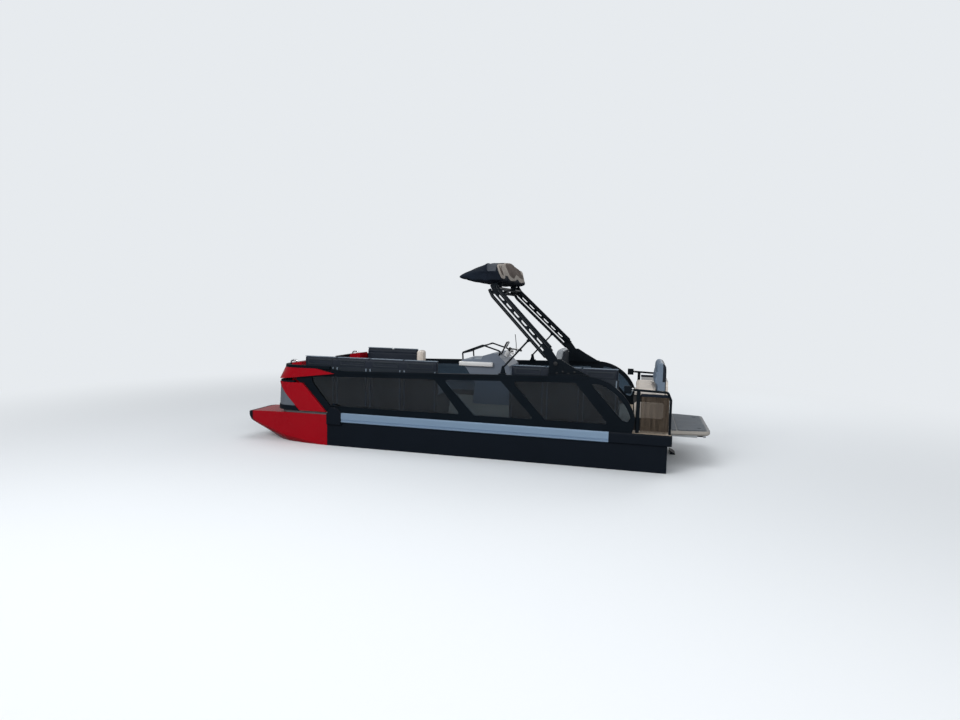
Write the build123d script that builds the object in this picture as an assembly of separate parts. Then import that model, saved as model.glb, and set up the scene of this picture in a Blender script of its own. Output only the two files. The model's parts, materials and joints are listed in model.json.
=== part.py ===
"""Three-hulled deck boat with a folding tower, a jet drive and a swim platform.

Millimetres. +X points to the bow, +Y to port and +Z up. The origin is on the
floor plane under the keels, midway along the length and on the centreline.
"""
from build123d import *
from math import atan2, cos, degrees, hypot, radians, sin, tan
import os

os.makedirs("parts", exist_ok=True)

# Overall sizes
LENGTH = 6490
BEAM = 2490
HALF_LENGTH = LENGTH / 2
HALF_BEAM = BEAM / 2
HULL_TOP = 700
BEAM_HEIGHT = 90
DECK_PLATE = 30
TILE_THICK = 10
DECK_TOP = HULL_TOP + BEAM_HEIGHT + DECK_PLATE + TILE_THICK
SIDE_REACH = 40
DECK_HALF = HALF_BEAM - SIDE_REACH

# Clearances
SEAT_GAP = 0.3
MOVING_GAP = 6

# Hulls, their ends counted from the ends of the boat
SPONSON_HALF = 300
SPONSON_CENTRE = DECK_HALF - SPONSON_HALF
SPONSON_STERN = 555 - HALF_LENGTH
NOSE_END = HALF_LENGTH - 95
NOSE_START = NOSE_END - 1218
NOSE_TOP = HULL_TOP + 90
KEEL_PAD = 55
CENTRE_HALF = 400
CENTRE_PAD = 70
TRANSOM_X = 895 - HALF_LENGTH
CENTRE_BOW = HALF_LENGTH - 265
CHINE_IN = 30
CHINE_STEP = 45

# Deck
TILE_GAP = 6
TILE_COLUMNS = 8
TILE_ROWS = 4
DECK_STERN = 505 - HALF_LENGTH
DECK_BOW = HALF_LENGTH - 545
CROSS_BEAMS = 9
CROSS_BEAM_WIDE = 50
BAND_THICK = 30
BAND_START = NOSE_START - 232
BAND_END = DECK_STERN + 760

# Side fences
FENCE_OUT = DECK_HALF
FENCE_THICK = 40
RAIL_CAP_WIDE = 58
RAIL_DEPTH = 80
LOWER_RAIL = 90
RAIL_AT_MIDDLE = 632
RAIL_RISE = -0.026
GLASS_THICK = 6

# Bow
BOW_FRONT = HALF_LENGTH - 455
BOW_TOP_FRONT = BOW_FRONT - 110
BOW_RADIUS = 260
BOW_SKIN = 34
LENS_SKIN = 18
BROW_FOOT = 430
BROW_TOP = 611
CAP_THICK = 38
CAP_WIDE = 55
PANEL_TOP = 400
PLINTH_HEIGHT = 66
GATE_HALF = 425
GATE_POST = 42
GATE_THICK = 40
GATE_TUBE = 34
GATE_GAP = 20
GATE_X = BOW_FRONT - 95
GATE_LOW = 50
GATE_HIGH = 596
GATE_PIN = 5

# Benches
BENCH_OUT = FENCE_OUT - 110
BENCH_IN = BENCH_OUT - 575
BASE_HEIGHT = 300
TOE_KICK = 50
CUSHION_HIGH = 430
BACK_THICK = 95
BACK_TOP = 775
PAD_GAP = 8

# Helm
CONSOLE_OUT = 135 - FENCE_OUT
CONSOLE_IN = CONSOLE_OUT + 750
CONSOLE_FRONT = 404
DASH_TOP = 806
SHELF_TOP = 704
BAR_RADIUS = 12
HUB_X = CONSOLE_FRONT - 704
HUB_Y = CONSOLE_OUT + 380
HUB_Z = DASH_TOP + 44
COLUMN_TILT = 35
COLUMN_TUBE = 20
COLUMN_END = -96
CHAIR_X = -930
CHAIR_Y = CONSOLE_OUT + 410
CHAIR_HALF = 250
COLUMN_RADIUS = 45
CHAIR_UNDER = 380

# Tower
HINGE_X = 1965 - HALF_LENGTH
HINGE_Z = RAIL_AT_MIDDLE + 188
TOWER_Y = FENCE_OUT - 85
TOWER_LEAN = 20
LEAN_START = HINGE_Z + 85
LEG_TUBE = 23
LEG_SPACING = 105
LUG_THICK = 16
LUG_RADIUS = 52
FOOT_PLATE = 12
TOWER_PIN = 12
STRUT_TOP_X = HINGE_X + 372
STRUT_TOP_Z = HINGE_Z + 279
STRUT_FOOT_X = HINGE_X + 691
STRUT_FOOT_Z = HINGE_Z - 79
STRUT_Y = FENCE_OUT - 105
STRUT_RADIUS = 12
EYE_HALF = 10
STRUT_EYE = 20
STRUT_PIN = 8

# Stern
RAIL_TUBE = 15
RAIL_Y = FENCE_OUT - 55
PLATFORM_THICK = 60
PLATFORM_DROP = 30
PLATFORM_FRONT_HALF = 700
PLATFORM_END_HALF = 605
LADDER_Y = 295
LADDER_HALF = 170
LADDER_TUBE = 12
LADDER_X = 60 - HALF_LENGTH
LADDER_Z = DECK_TOP - PLATFORM_DROP - PLATFORM_THICK - 32
LADDER_REACH = 395

# Drive
PUMP_Z = 240
PUMP_OUT = 115
PUMP_BORE = 85
SHAFT_RADIUS = 14
NOZZLE_X = TRANSOM_X - 300
NOZZLE_REACH = 180
BUCKET_X = NOZZLE_X - 85


def rail_top(x):
    """Height of the side rail above the deck, which rises towards the stern."""
    return RAIL_AT_MIDDLE + RAIL_RISE * x


def block(x0, x1, y0, y1, z0, z1):
    return Pos((x0 + x1) / 2, (y0 + y1) / 2, (z0 + z1) / 2) * Box(
        abs(x1 - x0), abs(y1 - y0), abs(z1 - z0))


def outline(points, radius=0):
    """Closed flat outline of straight runs, its corners rounded when asked."""
    face = make_face(Polyline(*points, close=True))
    if radius:
        face = fillet(face.vertices(), radius)
    return face


def side_prism(face, y0, y1):
    """Outline drawn in X and Z, extruded from y0 to y1."""
    placed = Plane.XZ.offset(-y0) * face
    return extrude(placed, amount=abs(y1 - y0), dir=(0, 1 if y1 > y0 else -1, 0))


def plan_prism(face, z0, z1):
    """Outline drawn in X and Y, extruded from z0 to z1."""
    return extrude(Pos(0, 0, z0) * face, amount=z1 - z0, dir=(0, 0, 1))


def rod(start, end, radius):
    """Round bar between two points."""
    way = Vector(*end) - Vector(*start)
    ring = Plane(origin=start, z_dir=way) * Circle(radius)
    return extrude(ring, amount=way.length, dir=way)


def bent_tube(points, radius, bend):
    """Round tube along straight runs that tangent arcs join."""
    path = FilletPolyline(*points, radius=bend)
    ring = Plane(origin=path @ 0, z_dir=path % 0) * Circle(radius)
    return sweep(ring, path=path)


def cross_pin(x, z, y0, y1, radius):
    """Pin that lies across the boat."""
    return rod((x, y0, z), (x, y1, z), radius)


def port_and_starboard(shape):
    return Compound(children=list(shape.solids()) + list(mirror(shape, about=Plane.XZ).solids()))


def group(*shapes):
    solids = []
    for shape in shapes:
        solids += list(shape.solids())
    return Compound(children=solids)


def save(name, shape):
    export_step(shape, f"parts/{name}.step")


# Hulls

def hull_station(x, centre, half, top, chine, keel, pad):
    """Cross-section with a flat keel pad, a V bottom and upright sides."""
    points = [
        (centre - pad, keel), (centre + pad, keel),
        (centre + half - CHINE_IN, chine), (centre + half, chine + CHINE_STEP),
        (centre + half, top), (centre - half, top),
        (centre - half, chine + CHINE_STEP), (centre - half + CHINE_IN, chine)]
    return Plane.YZ.offset(x) * outline(points)


def hull(centre, stations):
    """Ruled skin through the stations: x, half width, top, chine, keel, pad."""
    faces = [hull_station(x, centre, half, top, chine, keel, pad)
             for x, half, top, chine, keel, pad in stations]
    return loft(faces, ruled=True)


SPONSON_STATIONS = [
    (SPONSON_STERN, SPONSON_HALF - 10, HULL_TOP, 260, 0, KEEL_PAD),
    (NOSE_START - 632, SPONSON_HALF, HULL_TOP, 260, 0, KEEL_PAD),
    (NOSE_START - SEAT_GAP, SPONSON_HALF, HULL_TOP, 290, 34, KEEL_PAD)]

NOSE_STATIONS = [
    (NOSE_START, SPONSON_HALF, NOSE_TOP, 290, 34, KEEL_PAD),
    (NOSE_START + 668, SPONSON_HALF, NOSE_TOP - 4, HULL_TOP - 295, HULL_TOP - 485, 60),
    (NOSE_END - 150, SPONSON_HALF - 8, NOSE_TOP - 12, HULL_TOP - 155, HULL_TOP - 255, 80),
    (NOSE_END, SPONSON_HALF - 16, NOSE_TOP - 18, HULL_TOP - 90, HULL_TOP - 140, 100)]

BUMPER_STATIONS = [
    (NOSE_END + SEAT_GAP, SPONSON_HALF - 16, NOSE_TOP - 18, HULL_TOP - 90, HULL_TOP - 140, 100),
    (HALF_LENGTH - 40, SPONSON_HALF - 30, NOSE_TOP - 24, HULL_TOP - 68, HULL_TOP - 108, 130),
    (HALF_LENGTH, SPONSON_HALF - 70, NOSE_TOP - 42, HULL_TOP - 45, HULL_TOP - 70, 150)]

CENTRE_STATIONS = [
    (TRANSOM_X, CENTRE_HALF, HULL_TOP, 270, 0, CENTRE_PAD),
    (CENTRE_BOW - 1680, CENTRE_HALF, HULL_TOP, 270, 0, CENTRE_PAD),
    (CENTRE_BOW - 680, CENTRE_HALF - 20, HULL_TOP, HULL_TOP - 300, HULL_TOP - 510, 60),
    (CENTRE_BOW - 180, CENTRE_HALF - 70, HULL_TOP, HULL_TOP - 140, HULL_TOP - 230, 50),
    (CENTRE_BOW, CENTRE_HALF - 120, HULL_TOP, HULL_TOP - 60, HULL_TOP - 90, 40)]

ENGINE_X = (TRANSOM_X + 290, TRANSOM_X + 1020)
ENGINE_HALF = 200
ENGINE_FLOOR = 180
ENGINE_TOP = HULL_TOP - 60
ENGINE_ROOM = 30
GRATE_X = (TRANSOM_X + 100, TRANSOM_X + 590)
GRATE_HALF = 52
GRATE_DEPTH = 60
GRATE_BARS = 5
BOW_EYE_Z = HULL_TOP - 140
BOW_EYE_X = CENTRE_BOW + 5
BOW_EYE_RADIUS = 15


def centre_hull():
    shell = hull(0, CENTRE_STATIONS)
    engine_room = block(ENGINE_X[0] - ENGINE_ROOM, ENGINE_X[1] + ENGINE_ROOM,
                        -ENGINE_HALF - ENGINE_ROOM, ENGINE_HALF + ENGINE_ROOM,
                        ENGINE_FLOOR, HULL_TOP + 1)
    intake = block(GRATE_X[0], GRATE_X[1], -GRATE_HALF, GRATE_HALF, -1, GRATE_DEPTH)
    shaft_hole = rod((TRANSOM_X - 1, 0, PUMP_Z), (TRANSOM_X + 60, 0, PUMP_Z), SHAFT_RADIUS + SEAT_GAP)
    return shell - engine_room - intake - shaft_hole


def bow_eye():
    """Towing ring plate under the centre hull's bow."""
    plate = outline([(BOW_EYE_X + x, BOW_EYE_Z + z) for x, z in (
        (-145, -60), (-85, -90), (25, -60), (45, 0), (15, 95), (0, 100), (-4, 60))])
    eye = side_prism(plate, -8, 8) - cross_pin(BOW_EYE_X, BOW_EYE_Z, -20, 20, BOW_EYE_RADIUS)
    return eye - hull(0, CENTRE_STATIONS)


def intake_grate():
    """Frame and fore-and-aft bars, flush with the keel."""
    x0 = GRATE_X[0] + SEAT_GAP
    x1 = GRATE_X[1] - SEAT_GAP
    half = GRATE_HALF - SEAT_GAP
    frame = block(x0, x1, -half, half, 3, 18)
    frame -= block(x0 + 20, x1 - 20, -half + 8, half - 8, 0, 20)
    pitch = 2 * (half - 8) / (GRATE_BARS + 1)
    for index in range(GRATE_BARS):
        y = -half + 8 + pitch * (index + 1)
        frame += block(x0 + 10, x1 - 10, y - 3, y + 3, 3, 18)
    return frame


save("centre_hull", centre_hull())
save("sponsons", port_and_starboard(hull(SPONSON_CENTRE, SPONSON_STATIONS)))
save("bow_noses", port_and_starboard(hull(SPONSON_CENTRE, NOSE_STATIONS)))
save("nose_bumpers", port_and_starboard(hull(SPONSON_CENTRE, BUMPER_STATIONS)))
save("engine", block(ENGINE_X[0], ENGINE_X[1], -ENGINE_HALF, ENGINE_HALF, ENGINE_FLOOR, ENGINE_TOP))
save("intake_grate", intake_grate())


# Deck

HATCH_X = (TRANSOM_X + 240, TRANSOM_X + 1060)
HATCH_HALF = 262
HATCH_THICK = 30
HATCH_HINGE_X = HATCH_X[1] + 8
HATCH_HINGE_Z = DECK_TOP + 9
PLATE_LOW = HULL_TOP + BEAM_HEIGHT
PLATE_TOP = PLATE_LOW + DECK_PLATE
SIDE_BEAM_IN = DECK_HALF - 55
ARM_END = 155 - HALF_LENGTH
ARM_Y = (510, 560)


def deck_frame():
    """Side beams, cross beams and the two arms that carry the platform."""
    frame = block(SPONSON_STERN, NOSE_START - 10, SIDE_BEAM_IN, DECK_HALF, HULL_TOP, PLATE_LOW)
    frame += block(SPONSON_STERN, NOSE_START - 10, -DECK_HALF, -SIDE_BEAM_IN, HULL_TOP, PLATE_LOW)
    first = SPONSON_STERN + CROSS_BEAM_WIDE / 2
    last = NOSE_START - 10 - CROSS_BEAM_WIDE / 2
    for index in range(CROSS_BEAMS):
        x = first + (last - first) * index / (CROSS_BEAMS - 1)
        frame += block(x - CROSS_BEAM_WIDE / 2, x + CROSS_BEAM_WIDE / 2,
                       -DECK_HALF, DECK_HALF, HULL_TOP, PLATE_LOW)
    for side in (-1, 1):
        frame += block(ARM_END, SPONSON_STERN + 20, side * ARM_Y[0], side * ARM_Y[1], HULL_TOP,
                       DECK_TOP - PLATFORM_DROP - PLATFORM_THICK)
    room = block(HATCH_X[0] + 20, HATCH_X[1] - 20, -HATCH_HALF + 20, HATCH_HALF - 20,
                 HULL_TOP - 1, PLATE_LOW + 1)
    return frame - room


def deck_outline(inset=0):
    bow = Pos((DECK_STERN + DECK_BOW) / 2, 0) * RectangleRounded(
        DECK_BOW - DECK_STERN - 2 * inset, 2 * (DECK_HALF - inset), 170)
    stern = Pos(DECK_STERN / 2, 0) * Rectangle(
        -DECK_STERN - 2 * inset, 2 * (DECK_HALF - inset))
    return bow + stern


def hatch_opening(inset, z0, z1):
    return block(HATCH_X[0] - MOVING_GAP + inset, HATCH_X[1] + MOVING_GAP - inset,
                 -HATCH_HALF - MOVING_GAP + inset, HATCH_HALF + MOVING_GAP - inset, z0, z1)


def deck():
    plate = plan_prism(deck_outline(), PLATE_LOW, PLATE_TOP)
    ledge = DECK_TOP - HATCH_THICK - SEAT_GAP
    plate -= hatch_opening(0, ledge, PLATE_TOP + 1)
    return plate - hatch_opening(30, PLATE_LOW - 1, ledge + 1)


def deck_tiles():
    """Floor tiles in a grid, trimmed to the deck's edge and round the hatch."""
    field = plan_prism(deck_outline(12), PLATE_TOP, DECK_TOP)
    step_x = (DECK_BOW - DECK_STERN) / TILE_COLUMNS
    step_y = 2 * DECK_HALF / TILE_ROWS
    tiles = []
    for column in range(TILE_COLUMNS):
        for row in range(TILE_ROWS):
            x = DECK_STERN + step_x * column
            y = -DECK_HALF + step_y * row
            tile = block(x + TILE_GAP / 2, x + step_x - TILE_GAP / 2,
                         y + TILE_GAP / 2, y + step_y - TILE_GAP / 2, PLATE_TOP, DECK_TOP)
            tile = (tile & field) - hatch_opening(0, PLATE_TOP - 1, DECK_TOP + 1)
            tile -= hatch_hinge_room()
            tiles.append(tile)
    return group(*tiles)


def hatch_hinge_room():
    return block(HATCH_X[1], HATCH_HINGE_X + 34, -HATCH_HALF, HATCH_HALF, PLATE_TOP - 1, DECK_TOP + 1)


def hinge_leaf():
    """Fixed half of the hatch hinge, screwed to the deck ahead of the hatch."""
    leaf = block(HATCH_HINGE_X + 9, HATCH_HINGE_X + 32, -180, 180, PLATE_TOP, PLATE_TOP + 12)
    for y in (-180, 140):
        leaf += block(HATCH_HINGE_X, HATCH_HINGE_X + 22, y, y + 40, PLATE_TOP + 8, HATCH_HINGE_Z)
        leaf += rod((HATCH_HINGE_X, y, HATCH_HINGE_Z), (HATCH_HINGE_X, y + 40, HATCH_HINGE_Z), 8)
        leaf -= block(HATCH_HINGE_X - 9, HATCH_HINGE_X + 8.3, y - 1, y + 41, PLATE_TOP - 1, PLATE_TOP + 11)
    return leaf + rod((HATCH_HINGE_X, -175, HATCH_HINGE_Z), (HATCH_HINGE_X, 175, HATCH_HINGE_Z), 3)


def engine_hatch():
    """Flush lid with its hinge barrel along the front edge."""
    lid = block(HATCH_X[0], HATCH_X[1], -HATCH_HALF, HATCH_HALF, DECK_TOP - HATCH_THICK, DECK_TOP)
    barrel = rod((HATCH_HINGE_X, -139, HATCH_HINGE_Z), (HATCH_HINGE_X, 139, HATCH_HINGE_Z), 8)
    strap = block(HATCH_X[1] - 40, HATCH_HINGE_X, -139, 139, DECK_TOP - 4, HATCH_HINGE_Z + 5)
    ring = rod((HATCH_HINGE_X, -140, HATCH_HINGE_Z), (HATCH_HINGE_X, 140, HATCH_HINGE_Z), 3 + SEAT_GAP)
    lid = lid + strap + barrel - ring
    handle = Pos((HATCH_X[0] + 70), 0, DECK_TOP) * Box(36, 110, 16)
    return lid - handle


BAND_FOOT = HULL_TOP - 6
BAND_GROOVE = 10


def side_band():
    """Aluminium rub extrusion: a tall upper face, a groove and a lower lip."""
    y = DECK_HALF
    profile = outline([
        (y, DECK_TOP), (y + 16, DECK_TOP), (y + BAND_THICK, DECK_TOP - 14),
        (y + BAND_THICK, BAND_FOOT + 46), (y + BAND_THICK - BAND_GROOVE, BAND_FOOT + 39),
        (y + BAND_THICK - BAND_GROOVE, BAND_FOOT + 32), (y + BAND_THICK, BAND_FOOT + 25),
        (y + BAND_THICK, BAND_FOOT + 10), (y + 12, BAND_FOOT), (y, BAND_FOOT)])
    return extrude(Plane.YZ.offset(BAND_END) * profile, amount=BAND_START - BAND_END, dir=(1, 0, 0))


def stern_edge():
    """Dark continuation of the band to the transom."""
    y = DECK_HALF
    profile = outline([
        (y, DECK_TOP), (y + 14, DECK_TOP), (y + BAND_THICK - 2, DECK_TOP - 16),
        (y + BAND_THICK - 2, BAND_FOOT + 10), (y + 12, BAND_FOOT), (y, BAND_FOOT)])
    length = BAND_END - DECK_STERN
    return extrude(Plane.YZ.offset(DECK_STERN) * profile, amount=length - SEAT_GAP, dir=(1, 0, 0))


def cleat_block():
    """Moulded block that closes the band against the nose."""
    side = outline([(NOSE_START - back, HULL_TOP + z) for back, z in (
        (230, -40), (8, -40), (8, 100), (60, 200), (162, 200), (230, 136))])
    body = side_prism(side, DECK_HALF + SEAT_GAP, DECK_HALF + SIDE_REACH)
    edge = body.edges().group_by(Axis.Y)[-1]
    return fillet(edge, 8)


save("deck_frame", deck_frame())
save("deck", deck())
save("deck_tiles", deck_tiles())
save("hatch_hinge", hinge_leaf())
save("engine_hatch", engine_hatch())
save("side_bands", port_and_starboard(side_band()))
save("stern_edges", port_and_starboard(stern_edge()))
save("cleat_blocks", port_and_starboard(cleat_block()))


# Side fences. Heights below are above the deck, and the posts lean aft at the foot.

POST_TABLE = [  # top front x, top rear x, foot front x, foot rear x
    (333, 205, -34, -228),
    (-578, -732, -1033, -1177),
    (DECK_STERN + 1195, DECK_STERN + 1007, DECK_STERN + 769, DECK_STERN + 600)]
FENCE_NOSE = BOW_FRONT - 375
FENCE_FOOT = DECK_STERN + 478
KINK_FRONT = BOW_FRONT - 910
KINK_BACK = BOW_FRONT - 1130
CURVE_START = DECK_STERN + 1040
CURVE_MIDDLE = (DECK_STERN + 635, 505)
CURVE_END = (DECK_STERN + 444, 168)
WINDOW_START = (BOW_FRONT - 897, LOWER_RAIL)
WINDOW_FRONT = (BOW_FRONT - 625, 415)
WINDOW_RADIUS = 22
AFT_RADIUS = 14


def fence_outline():
    arc_start = (CURVE_START, rail_top(CURVE_START))
    runs = Polyline(
        (FENCE_FOOT, 0), (BOW_FRONT - 800, 0), (FENCE_NOSE - 30, 425), (FENCE_NOSE, 440), (FENCE_NOSE, BROW_TOP),
        (KINK_FRONT, BROW_TOP), (KINK_BACK, rail_top(KINK_BACK)), arc_start)
    curve = ThreePointArc(arc_start, CURVE_MIDDLE, CURVE_END)
    foot = Line(CURVE_END, (FENCE_FOOT, 0))
    return make_face([runs, curve, foot])


def window_faces(inset=0):
    """The four glazed openings between the leaning posts."""
    faces = []
    head = lambda x: rail_top(x) - RAIL_DEPTH
    first, second, third = POST_TABLE
    faces.append(outline([
        WINDOW_START, WINDOW_FRONT, (WINDOW_FRONT[0], 492), (KINK_FRONT, 505), (KINK_BACK, head(KINK_BACK)),
        (first[0], head(first[0])), (first[2], LOWER_RAIL)], WINDOW_RADIUS))
    for ahead, behind in ((first, second), (second, third)):
        faces.append(outline([
            (ahead[3], LOWER_RAIL), (ahead[1], head(ahead[1])),
            (behind[0], head(behind[0])), (behind[2], LOWER_RAIL)], WINDOW_RADIUS))
    top = (third[1], head(third[1]) - 2)
    foot = (third[3], 150)
    curve_top = (DECK_STERN + 890, 588)
    curve_low = (DECK_STERN + 502, 190)
    aft = make_face([
        Polyline(foot, top, curve_top),
        ThreePointArc(curve_top, (DECK_STERN + 655, 438), curve_low),
        Polyline(curve_low, (DECK_STERN + 535, 135), foot)])
    faces.append(fillet(aft.vertices(), AFT_RADIUS))
    if inset:
        faces = [offset(face, -inset) for face in faces]
    return faces


def raised(face):
    return Pos(0, DECK_TOP) * face


def fence():
    inner = FENCE_OUT - FENCE_THICK
    body = side_prism(raised(fence_outline()), inner, FENCE_OUT)
    for face in window_faces():
        body -= side_prism(raised(face), inner - 1, FENCE_OUT + 1)
    cap = outline([
        (KINK_BACK, rail_top(KINK_BACK) - 34), (KINK_BACK, rail_top(KINK_BACK)),
        (CURVE_START, rail_top(CURVE_START)), (CURVE_START, rail_top(CURVE_START) - 34)])
    middle = (inner + FENCE_OUT) / 2
    return body + side_prism(raised(cap), middle - RAIL_CAP_WIDE / 2, middle + RAIL_CAP_WIDE / 2)


def glass():
    middle = FENCE_OUT - FENCE_THICK / 2
    panes = [side_prism(raised(face), middle - GLASS_THICK / 2, middle + GLASS_THICK / 2)
             for face in window_faces(SEAT_GAP)]
    return group(*panes)


save("side_fences", port_and_starboard(fence()))
save("side_glass", port_and_starboard(glass()))


# Bow

BOW_BACK = BOW_FRONT - 1090
BULKHEAD_X = BOW_FRONT - 358


def behind_bow(*points):
    """Side view drawn by distances behind the bow's front and heights above the deck."""
    return [(BOW_FRONT - back, z) for back, z in points]


def bow_plan(front, side, radius):
    """Plan of the bow from its back edge to a front with round corners."""
    back = BOW_BACK
    full = Pos((front + back) / 2, 0) * RectangleRounded(front - back, 2 * side, radius)
    square = Pos(back + (front - back) / 4, 0) * Rectangle((front - back) / 2, 2 * side)
    return full + square


def bow_band(skin, low, high, front_low, front_high, inset=0):
    """Standing band of one thickness round the bow, leaning back as it rises."""
    side = HALF_BEAM - 5 - inset
    outer = loft([Pos(0, 0, DECK_TOP + low) * bow_plan(front_low - inset, side, BOW_RADIUS - inset),
                  Pos(0, 0, DECK_TOP + high) * bow_plan(front_high - inset, side, BOW_RADIUS - inset)])
    deep = inset + skin
    side = HALF_BEAM - 5 - deep
    inner = loft([Pos(0, 0, DECK_TOP + low) * bow_plan(front_low - deep, side, BOW_RADIUS - deep),
                  Pos(0, 0, DECK_TOP + high) * bow_plan(front_high - deep, side, BOW_RADIUS - deep)])
    inner += block(BOW_BACK - 100, BOW_BACK + 60, -side, side, DECK_TOP + low, DECK_TOP + high)
    return outer - inner


def keep_side_view(shape, points):
    return shape & side_prism(raised(outline(points)), -BEAM, BEAM)


def without_gate(shape, half):
    return shape - block(BOW_FRONT - 790, HALF_LENGTH, -half, half, DECK_TOP - 10, DECK_TOP + 900)


def split_bow(shape):
    """Keep the two corner pieces, port first."""
    return Compound(children=sorted(shape.solids(), key=lambda piece: -piece.center().Y))


def bow_brow():
    band = bow_band(BOW_SKIN, BROW_FOOT - 20, BROW_TOP, BOW_FRONT, BOW_TOP_FRONT)
    band = keep_side_view(band, behind_bow(
        (975, 549), (680, BROW_TOP + 5), (-70, BROW_TOP + 5), (-70, BROW_FOOT - 6), (14, BROW_FOOT)))
    return split_bow(without_gate(band, GATE_HALF + GATE_POST))


def bow_side_panel():
    band = bow_band(BOW_SKIN + 1 - SEAT_GAP, -2, PANEL_TOP, BOW_FRONT, BOW_FRONT - 15)
    band = keep_side_view(band, behind_bow((858, 2), (438, 2), (64, PANEL_TOP - 2), (486, PANEL_TOP - 2)))
    return split_bow(without_gate(band, GATE_HALF + GATE_POST))


def bow_lens():
    band = bow_band(LENS_SKIN, PLINTH_HEIGHT, PANEL_TOP, BOW_FRONT - 8, BOW_FRONT - 26, 4)
    band = keep_side_view(band, behind_bow(
        (372, PLINTH_HEIGHT + SEAT_GAP), (-70, PLINTH_HEIGHT + SEAT_GAP), (-70, PANEL_TOP - 2), (59, PANEL_TOP - 2)))
    return split_bow(without_gate(band, GATE_HALF + GATE_POST + SEAT_GAP))


def bow_plinth():
    """Black inner wall that carries the bow panels, with a foot strip outside."""
    wall = bow_band(26, 0, BROW_FOOT - 10, BOW_FRONT, BOW_FRONT - 20, BOW_SKIN + 1)
    behind = block(BOW_BACK - 200, BULKHEAD_X, -BEAM, BEAM, DECK_TOP - 10, DECK_TOP + 900)
    wall = wall - behind
    foot = bow_band(BOW_SKIN + 4, 0, PLINTH_HEIGHT, BOW_FRONT - 2, BOW_FRONT - 6)
    foot = keep_side_view(foot, behind_bow((428, 0), (-70, 0), (-70, PLINTH_HEIGHT), (370, PLINTH_HEIGHT)))
    head = bow_band(BOW_SKIN + 20, PANEL_TOP + 1, BROW_FOOT - 12, BOW_FRONT - 30, BOW_FRONT - 31)
    head = head - behind
    return split_bow(without_gate(wall + foot + head, GATE_HALF + GATE_POST))


def bow_cap():
    band = bow_band(CAP_WIDE, BROW_TOP + SEAT_GAP, BROW_TOP + CAP_THICK, BOW_TOP_FRONT + 12, BOW_TOP_FRONT + 4, 10)
    band = band - block(BOW_BACK - 200, KINK_FRONT, -BEAM, BEAM, DECK_TOP, DECK_TOP + 900)
    return split_bow(without_gate(band, GATE_HALF))


def bow_corner():
    """Moulded inner corner between the bow wall and the first backrest."""
    side = raised(outline(behind_bow((390, 0), (185, 0), (185, 560), (205, 660), (390, 684))))
    low, high = BENCH_OUT - 305, BENCH_OUT - 5
    plan = outline(behind_bow((390, low), (185, low), (185, high - 60), (240, high), (390, high)))
    return side_prism(side, low - 10, high + 10) & plan_prism(plan, DECK_TOP, DECK_TOP + 700)


def gate_post():
    post = block(GATE_X - 40, GATE_X + 40, GATE_HALF, GATE_HALF + GATE_POST - SEAT_GAP, DECK_TOP, DECK_TOP + BROW_TOP - SEAT_GAP)
    return fillet(post.edges().filter_by(Axis.Z), 6)


GATE_AXIS_Y = GATE_HALF - 14
GATE_EYE = 9
GATE_AXIS_X = GATE_X - 6
HINGE_HEIGHTS = (140, 480)


def gate_hinge_plate(height):
    """Plate on the port post with an upright pin."""
    low = DECK_TOP + height
    plate = block(GATE_AXIS_X - 12, GATE_X - 1, GATE_AXIS_Y - GATE_PIN, GATE_HALF, low, low + 8)
    pin = Pos(GATE_AXIS_X, GATE_AXIS_Y, low + 26) * Cylinder(GATE_PIN, 52)
    return plate + pin


def bow_gate():
    """Leaf of square tube with two hinge eyes on its port edge."""
    low, high = DECK_TOP + GATE_LOW, DECK_TOP + GATE_HIGH
    left, right = GATE_HALF - GATE_GAP, -GATE_HALF + GATE_GAP / 2
    leaf = block(GATE_X, GATE_X + GATE_THICK, right, left, low, high)
    leaf = fillet(leaf.edges().filter_by(Axis.X), 30)
    leaf -= block(GATE_X - 1, GATE_X + GATE_THICK + 1, right + GATE_TUBE, left - GATE_TUBE,
                  low + GATE_TUBE, high - GATE_TUBE)
    for height in HINGE_HEIGHTS:
        z = DECK_TOP + height + 9
        leaf += Pos(GATE_AXIS_X, GATE_AXIS_Y, z + 16) * Cylinder(GATE_EYE, 32)
        leaf += block(GATE_AXIS_X - 4, GATE_X + 20, left - 10, GATE_AXIS_Y, z, z + 32)
        leaf -= Pos(GATE_AXIS_X, GATE_AXIS_Y, z + 16) * Cylinder(GATE_PIN + SEAT_GAP, 40)
    return leaf


def gate_panel():
    low, high = DECK_TOP + GATE_LOW, DECK_TOP + GATE_HIGH
    left, right = GATE_HALF - GATE_GAP, -GATE_HALF + GATE_GAP / 2
    gap = GATE_TUBE + SEAT_GAP
    return block(GATE_X + 16, GATE_X + 24, right + gap, left - gap, low + gap, high - gap)


save("bow_brows", bow_brow())
save("bow_side_panels", bow_side_panel())
save("bow_lenses", bow_lens())
save("bow_plinths", bow_plinth())
save("bow_caps", bow_cap())
save("bow_corners", port_and_starboard(bow_corner()))
port_post = gate_post()
for hinge_height in HINGE_HEIGHTS:
    port_post += gate_hinge_plate(hinge_height)
save("gate_posts", group(port_post, mirror(gate_post(), about=Plane.XZ)))
save("bow_gate", bow_gate())
save("gate_panel", gate_panel())
save("bow_eye", bow_eye())


# Benches: side, front x, rear x, seats

BENCH_FRONT = BOW_FRONT - 424
BENCH_TABLE = [
    (1, BENCH_FRONT, 328, 4),
    (1, -675, DECK_STERN + 660, 3),
    (-1, BENCH_FRONT, BENCH_FRONT - 966, 2)]


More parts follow.
